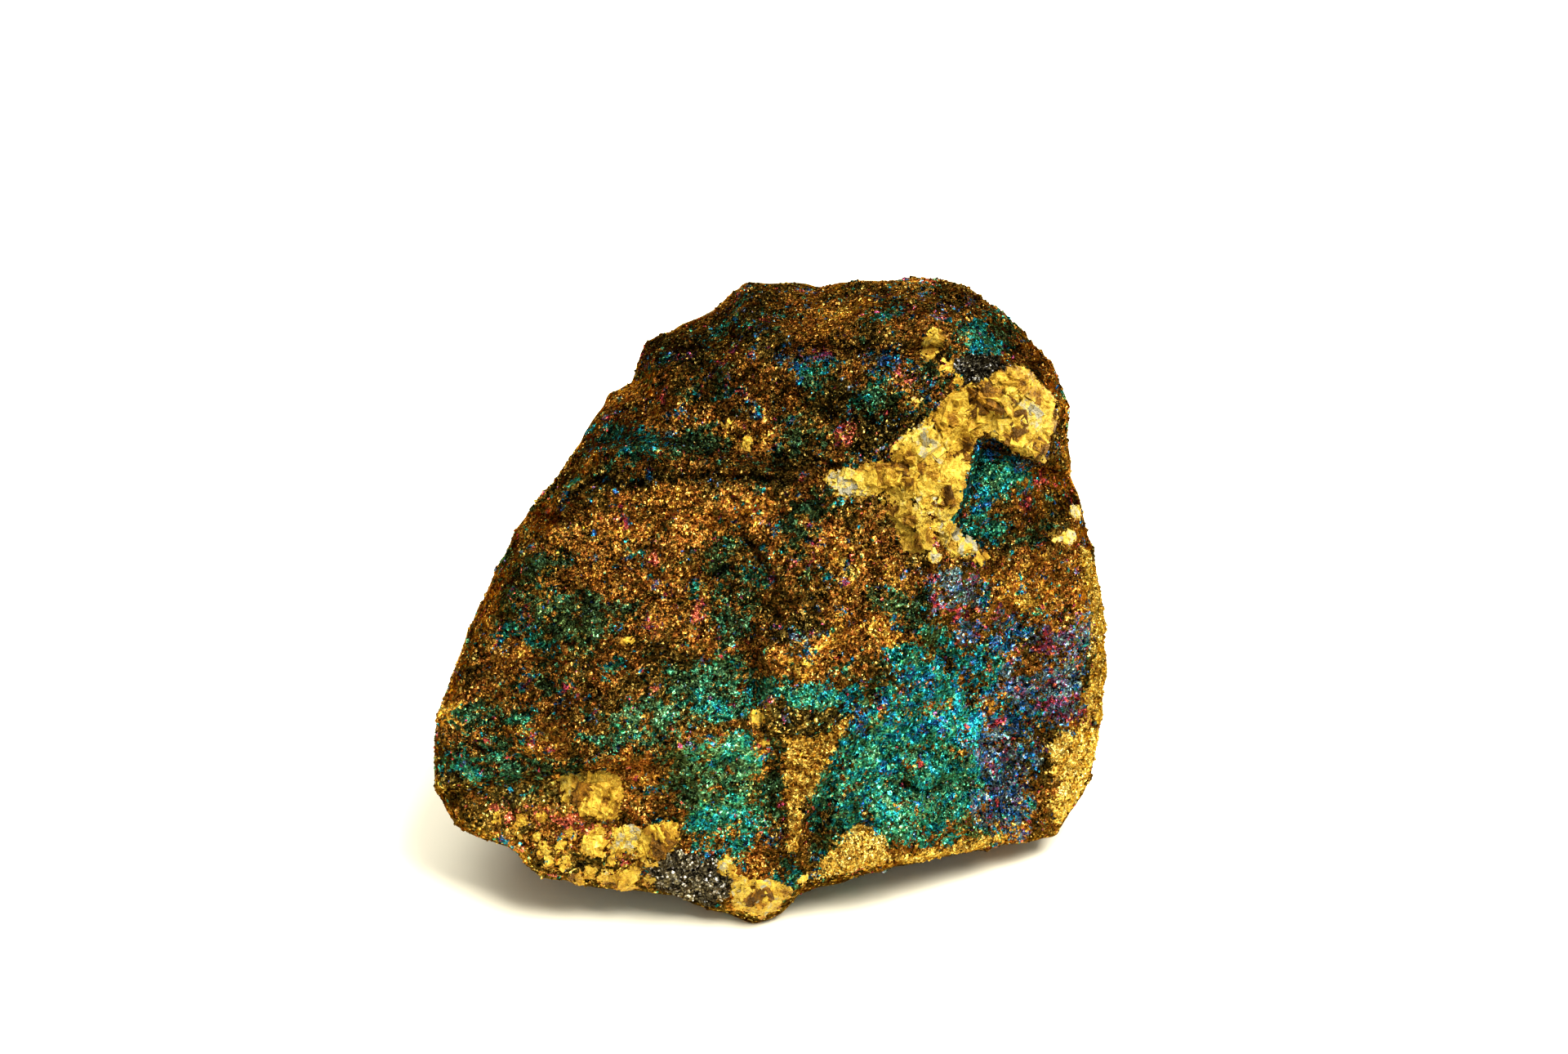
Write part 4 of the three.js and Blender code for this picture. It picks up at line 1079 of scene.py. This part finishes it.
finish = {
    # sizes, as cells to the metre
    "grainScale": 5800.0,  # fine sulphide grains
    "crumbScale": 2500.0,
    "roughScale": 3200.0,
    "edgeScale": 1100.0,  # the ragged line between two minerals
    "windowScale": 760.0,  # clear amber grains in the quartz
    "fibreScale": (3600.0, 900.0, 900.0),  # fine across, long up the face
    "grainTilt": 1.15,  # how far the grains lean out of the surface
    "crumbTilt": 0.35,
    "bump": (0.9, 0.0003),  # strength and height in metres
    "roughness": (0.28, 0.12, 0.14),  # of the ore, how far grains stray, how much less in quartz
    "edgeTint": shade(200, 165, 105),
    # from where to where a random number turns into a mask
    "pitEdges": (0.38, 0.54),
    "glintEdges": (0.82, 0.98),
    "shadowEdges": (0.36, 0.06),
    "filmEdges": (0.08, 0.92),
    "coverEdges": (0.5, 0.9),
    "windowEdges": (0.44, 0.54, 0.5, 0.32),
    "mineralEdges": (-0.07, 0.07),
    "edgeStray": (1.5, 0.35),  # how far clouds and grains push the line between two minerals
    "filmPick": (0.14, 0.72),  # least cover that brings film to a grain, and its range
    "baseStray": (0.16, 0.34),  # how far a grain and a crumb stray along the ramp
    "filmStray": (0.10, 0.22),
    "brightness": 1.07,
    "grainLight": (0.54, 0.42),  # darkest grain and range
    "crumbLight": (0.8, 0.4),
    "glintLight": (0.6, 1.3),  # of a glint on the bare ore, and how much more on film
    "glintTint": 0.35,
    "glintColour": shade(250, 214, 120),
    "bareShade": 0.45,  # how much darker bare grains are among much film
    # light left in the pits and in the shadowed grains
    "pitLight": {"sulphide": 0.42, "gold": 0.5, "quartz": 0.72},
    "shadowLight": {"sulphide": 0.4, "gold": 0.55},
    "goldGlint": 0.5,
    "quartzLight": (0.88, 0.18),
    "quartzStray": (0.2, 0.3),  # how far crumbs and clouds stray along the quartz ramp
    "fibreStray": 0.3,
    "windowDepth": 0.42,
    # ramps: place and screen colour of each stop
    "baseStops": [
        (0.0, 38, 31, 15), (0.16, 78, 68, 30), (0.32, 98, 76, 32),
        (0.48, 148, 110, 46), (0.60, 150, 88, 40), (0.74, 188, 130, 54),
        (0.88, 214, 166, 66), (1.0, 240, 204, 100),
    ],
    "filmStops": [
        (0.06, 226, 122, 92), (0.16, 186, 66, 84), (0.27, 98, 92, 132),
        (0.37, 124, 150, 132), (0.50, 44, 86, 156), (0.62, 40, 154, 166),
        (0.74, 66, 154, 116), (0.86, 104, 142, 100), (0.97, 72, 86, 48),
    ],
    "quartzStops": [
        (0.0, 88, 60, 24), (0.2, 142, 98, 32), (0.42, 182, 140, 48),
        (0.62, 214, 176, 66), (0.84, 226, 195, 86), (1.0, 172, 166, 138),
    ],
    # dark ore: the near-white top stop paints glints on the brightest grains
    "darkStops": [
        (0.0, 34, 31, 26), (0.6, 84, 78, 61), (0.88, 132, 124, 98),
        (1.0, 255, 252, 244),
    ],
    "goldStops": [
        (0.0, 146, 98, 36), (0.35, 210, 168, 76), (0.72, 238, 210, 112),
        (1.0, 255, 242, 176),
    ],
}


def oreMaterial(name, shown):
    # shown names the minerals that this surface can show, the later over the earlier
    material, tree = emptyMaterial(name)
    place = nodeOf(tree, "ShaderNodeTexCoord", output=3)

    def field(fieldName):
        return nodeOf(tree, "ShaderNodeAttribute", {"attribute_name": fieldName}, output=2)

    def cells(scale):
        # distance to the nearest seed, the random colour of its cell, and that in three parts
        gap = nodeOf(tree, "ShaderNodeTexVoronoi", {}, {"Vector": place, "Scale": scale})
        colour = Wire(tree, gap.socket.node.outputs[1])
        split = nodeOf(tree, "ShaderNodeSeparateColor", {}, {0: colour}).socket.node
        return gap, colour, *(Wire(tree, part) for part in split.outputs)

    def cloud(vector, scale, detail, roughness=0.65):
        return nodeOf(tree, "ShaderNodeTexNoise", {}, {
            "Vector": vector, "Scale": scale, "Detail": detail, "Roughness": roughness})

    def ramp(stops, factor):
        stops = [(position, shade(*colour)) for position, *colour in finish[stops]]
        return nodeOf(tree, "ShaderNodeValToRGB", {"stops": stops}, {0: factor})

    def vectors(operation, first, second):
        other = "Scale" if operation == "SCALE" else 1
        return nodeOf(tree, "ShaderNodeVectorMath", {"operation": operation}, {0: first, other: second})

    _, grainColour, grainA, grainB, grainC = cells(finish["grainScale"])
    _, crumbColour, crumbA, crumbB, crumbC = cells(finish["crumbScale"])
    rough = cloud(place, finish["roughScale"], 2.0)
    pits = between(rough, *finish["pitEdges"])
    glint = between(grainB, *finish["glintEdges"])
    shadowed = between(grainA, *finish["shadowEdges"]) * (1.0 - glint)

    def strayed(fieldName, grainStray, crumbStray):
        return field(fieldName) + (grainC - 0.5) * grainStray + (crumbB - 0.5) * crumbStray

    def pitted(mineral):
        least = finish["pitLight"][mineral]
        return least + (1.0 - least) * pits

    def inShadow(mineral):
        return 1.0 - (1.0 - finish["shadowLight"][mineral]) * shadowed

    def sulphide():
        # a grain shows its base ore, or the film that has grown on it
        least, spread = finish["filmPick"]
        pick = least + spread * between(grainA * 0.4 + crumbA * 0.6, *finish["filmEdges"])
        isFilm = field("cover") > pick
        base = ramp("baseStops", strayed("baseTone", *finish["baseStray"]))
        base = mixed(glint * finish["glintTint"], base, finish["glintColour"])
        colour = mixed(isFilm, base, ramp("filmStops", strayed("filmTone", *finish["filmStray"])))
        least, spread = finish["grainLight"]
        onBare, onFilm = finish["glintLight"]
        bright = field("light") * (least + spread * grainB + glint * (onBare + onFilm * isFilm))
        least, spread = finish["crumbLight"]
        bright = bright * (least + spread * crumbC) * finish["brightness"]
        bright = bright * inShadow("sulphide") * pitted("sulphide")
        covered = between(field("cover"), *finish["coverEdges"])
        bright = bright * (1.0 - finish["bareShade"] * covered * (1.0 - isFilm))
        return vectors("SCALE", colour, bright)

    def gold():
        tone = grainB * 0.6 + crumbC * 0.4 + field("goldTone") - 0.5
        bright = pitted("gold") * inShadow("gold") * (1.0 + finish["goldGlint"] * glint)
        return vectors("SCALE", ramp("goldStops", tone), bright * field("light"))

    def dark():
        return vectors("SCALE", ramp("darkStops", grainB), field("light"))

    def quartz():
        # sugary yellow with fine fibres and clear amber grains
        fibre = cloud(vectors("MULTIPLY", place, finish["fibreScale"]), 1.0, 1.0, 0.5)
        windowGap, _, windowA, windowB, _ = cells(finish["windowScale"])
        low, high, far, near = finish["windowEdges"]
        window = between(windowA, low, high) * between(windowGap, far, near)
        crumbStray, cloudStray = finish["quartzStray"]
        tone = field("baseTone") + (crumbB - 0.5) * crumbStray + (rough - 0.5) * cloudStray
        tone = tone + (fibre - 0.5) * finish["fibreStray"]
        tone = tone - window * (0.5 + 0.5 * windowB) * finish["windowDepth"]
        least, spread = finish["quartzLight"]
        bright = (least + spread * crumbC) * pitted("quartz") * field("light")
        return vectors("SCALE", ramp("quartzStops", tone), bright)

    colours = {"sulphide": sulphide, "gold": gold, "dark": dark, "quartz": quartz}
    colour = colours[shown[0]]()
    quartzMask = 1.0 if shown[0] == "quartz" else 0.0
    if len(shown) > 1:
        cloudStray, grainStray = finish["edgeStray"]
        edge = (cloud(place, finish["edgeScale"], 1.0) - 0.5) * cloudStray + (grainA - 0.5) * grainStray
    for mineral in shown[1:]:
        mask = between(field(mineral) + edge, *finish["mineralEdges"])
        colour = mixed(mask, colour, colours[mineral]())
        if mineral == "quartz":
            quartzMask = mask

    # grains lean at random out of the surface, less in the quartz and on the crumbs
    normal = nodeOf(tree, "ShaderNodeNewGeometry", output=1)
    calm = (1.0 - 0.7 * quartzMask) * (1.0 - 0.5 * field("sheer"))
    for draw, tilt in ((grainColour, finish["grainTilt"] * calm), (crumbColour, finish["crumbTilt"])):
        lean = vectors("SUBTRACT", draw, (0.5, 0.5, 0.5))
        normal = vectors("ADD", normal, vectors("SCALE", lean, tilt))
    normal = nodeOf(tree, "ShaderNodeVectorMath", {"operation": "NORMALIZE"}, {0: normal})
    strength, distance = finish["bump"]
    bumped = nodeOf(tree, "ShaderNodeBump", {}, {
        "Strength": strength, "Distance": distance, "Height": rough, "Normal": normal})
    least, stray, calmer = finish["roughness"]
    surface = nodeOf(tree, "ShaderNodeBsdfPrincipled", {}, {
        "Base Color": colour, "Metallic": 1.0 - quartzMask, "Normal": bumped,
        "Roughness": least + stray * grainC - calmer * quartzMask,
        "Specular Tint": finish["edgeTint"],
    })
    nodeOf(tree, "ShaderNodeOutputMaterial", {}, {"Surface": surface})
    return material


print("finishing the surface")
surfaces = {
    "any": oreMaterial("mixed_ore", ("sulphide", "gold", "dark", "quartz")),
    "sulphide": oreMaterial("tarnished_ore", ("sulphide",)),
    "gold": oreMaterial("fresh_ore", ("gold",)),
    "quartz": oreMaterial("yellow_quartz", ("quartz",)),
    "dark": oreMaterial("dark_ore", ("dark",)),
}
stoneBody.data.materials.append(surfaces["any"])
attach(stoneBody, "root")
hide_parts("ore_chunk")
for crumbPiece, crumbSlot, crumbMineral in crumbPieces:
    crumbPiece.data.materials.append(surfaces[crumbMineral])
    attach(crumbPiece, "root")

studio = {
    "floorSize": 1.6,
    "floorDrop": 0.00002,  # how far the floor lies under the flat spot
    "floorColour": shade(254, 246, 220),
    "floorFinish": (0.9, 0.2),  # roughness and specular level
    "worldColour": shade(255, 255, 255),
    "worldStrength": 0.42,
    "lens": 101.4,
    "sensor": 36.0,
    "clip": (0.01, 10.0),  # nearest and farthest that the camera sees
    "aim": (0.8, 5.4),  # millimetres right of the heart and up the image
    "look": "Medium High Contrast",
    "lights": [  # name, place in metres, size, watts
        ("key_box", (0.26, -0.10, 0.60), 0.36, 7.2),
        ("top_box", (-0.10, 0.15, 0.65), 0.60, 3.5),
    ],
}


def makeStudio():
    half = studio["floorSize"] / 2
    corners = np.array([(-half, -half, 0), (half, -half, 0), (half, half, 0), (-half, half, 0)])
    floor = meshFrom("studio_floor", corners / metre, [(0, 1, 2, 3)])
    material, tree = emptyMaterial("floor_paper")
    roughness, specular = studio["floorFinish"]
    paper = nodeOf(tree, "ShaderNodeBsdfPrincipled", {}, {
        "Base Color": studio["floorColour"], "Roughness": roughness, "Specular IOR Level": specular})
    nodeOf(tree, "ShaderNodeOutputMaterial", {}, {"Surface": paper})
    floor.data.materials.append(material)
    floor.location.z = -studio["floorDrop"]

    world = bpy.data.worlds.new("studio_world")
    bpy.context.scene.world = world
    world.use_nodes = True
    sky = world.node_tree.nodes["Background"]
    sky.inputs["Color"].default_value = studio["worldColour"]
    sky.inputs["Strength"].default_value = studio["worldStrength"]

    heart = Vector(stone["heart"]) * metre
    for name, place, size, watts in studio["lights"]:
        lamp = bpy.data.lights.new(name, "AREA")
        lamp.shape, lamp.size, lamp.energy = "SQUARE", size, watts
        holder = linked(name, lamp)
        holder.location = place
        holder.rotation_euler = (heart - Vector(place)).to_track_quat("-Z", "Y").to_euler()

    camera = bpy.data.cameras.new("view")
    camera.lens, camera.sensor_width = studio["lens"], studio["sensor"]
    camera.clip_start, camera.clip_end = studio["clip"]
    eye = linked("view", camera)
    right, up, out = (Vector(row) for row in faceToWorld)
    aim = heart + (right * studio["aim"][0] + up * studio["aim"][1]) * metre
    eye.location = aim + out * stone["viewDistance"] * metre
    eye.rotation_euler = out.to_track_quat("Z", "Y").to_euler()
    bpy.context.scene.camera = eye
    bpy.context.scene.view_settings.view_transform = "Standard"
    bpy.context.scene.view_settings.look = studio["look"]


print("setting up the studio")
makeStudio()
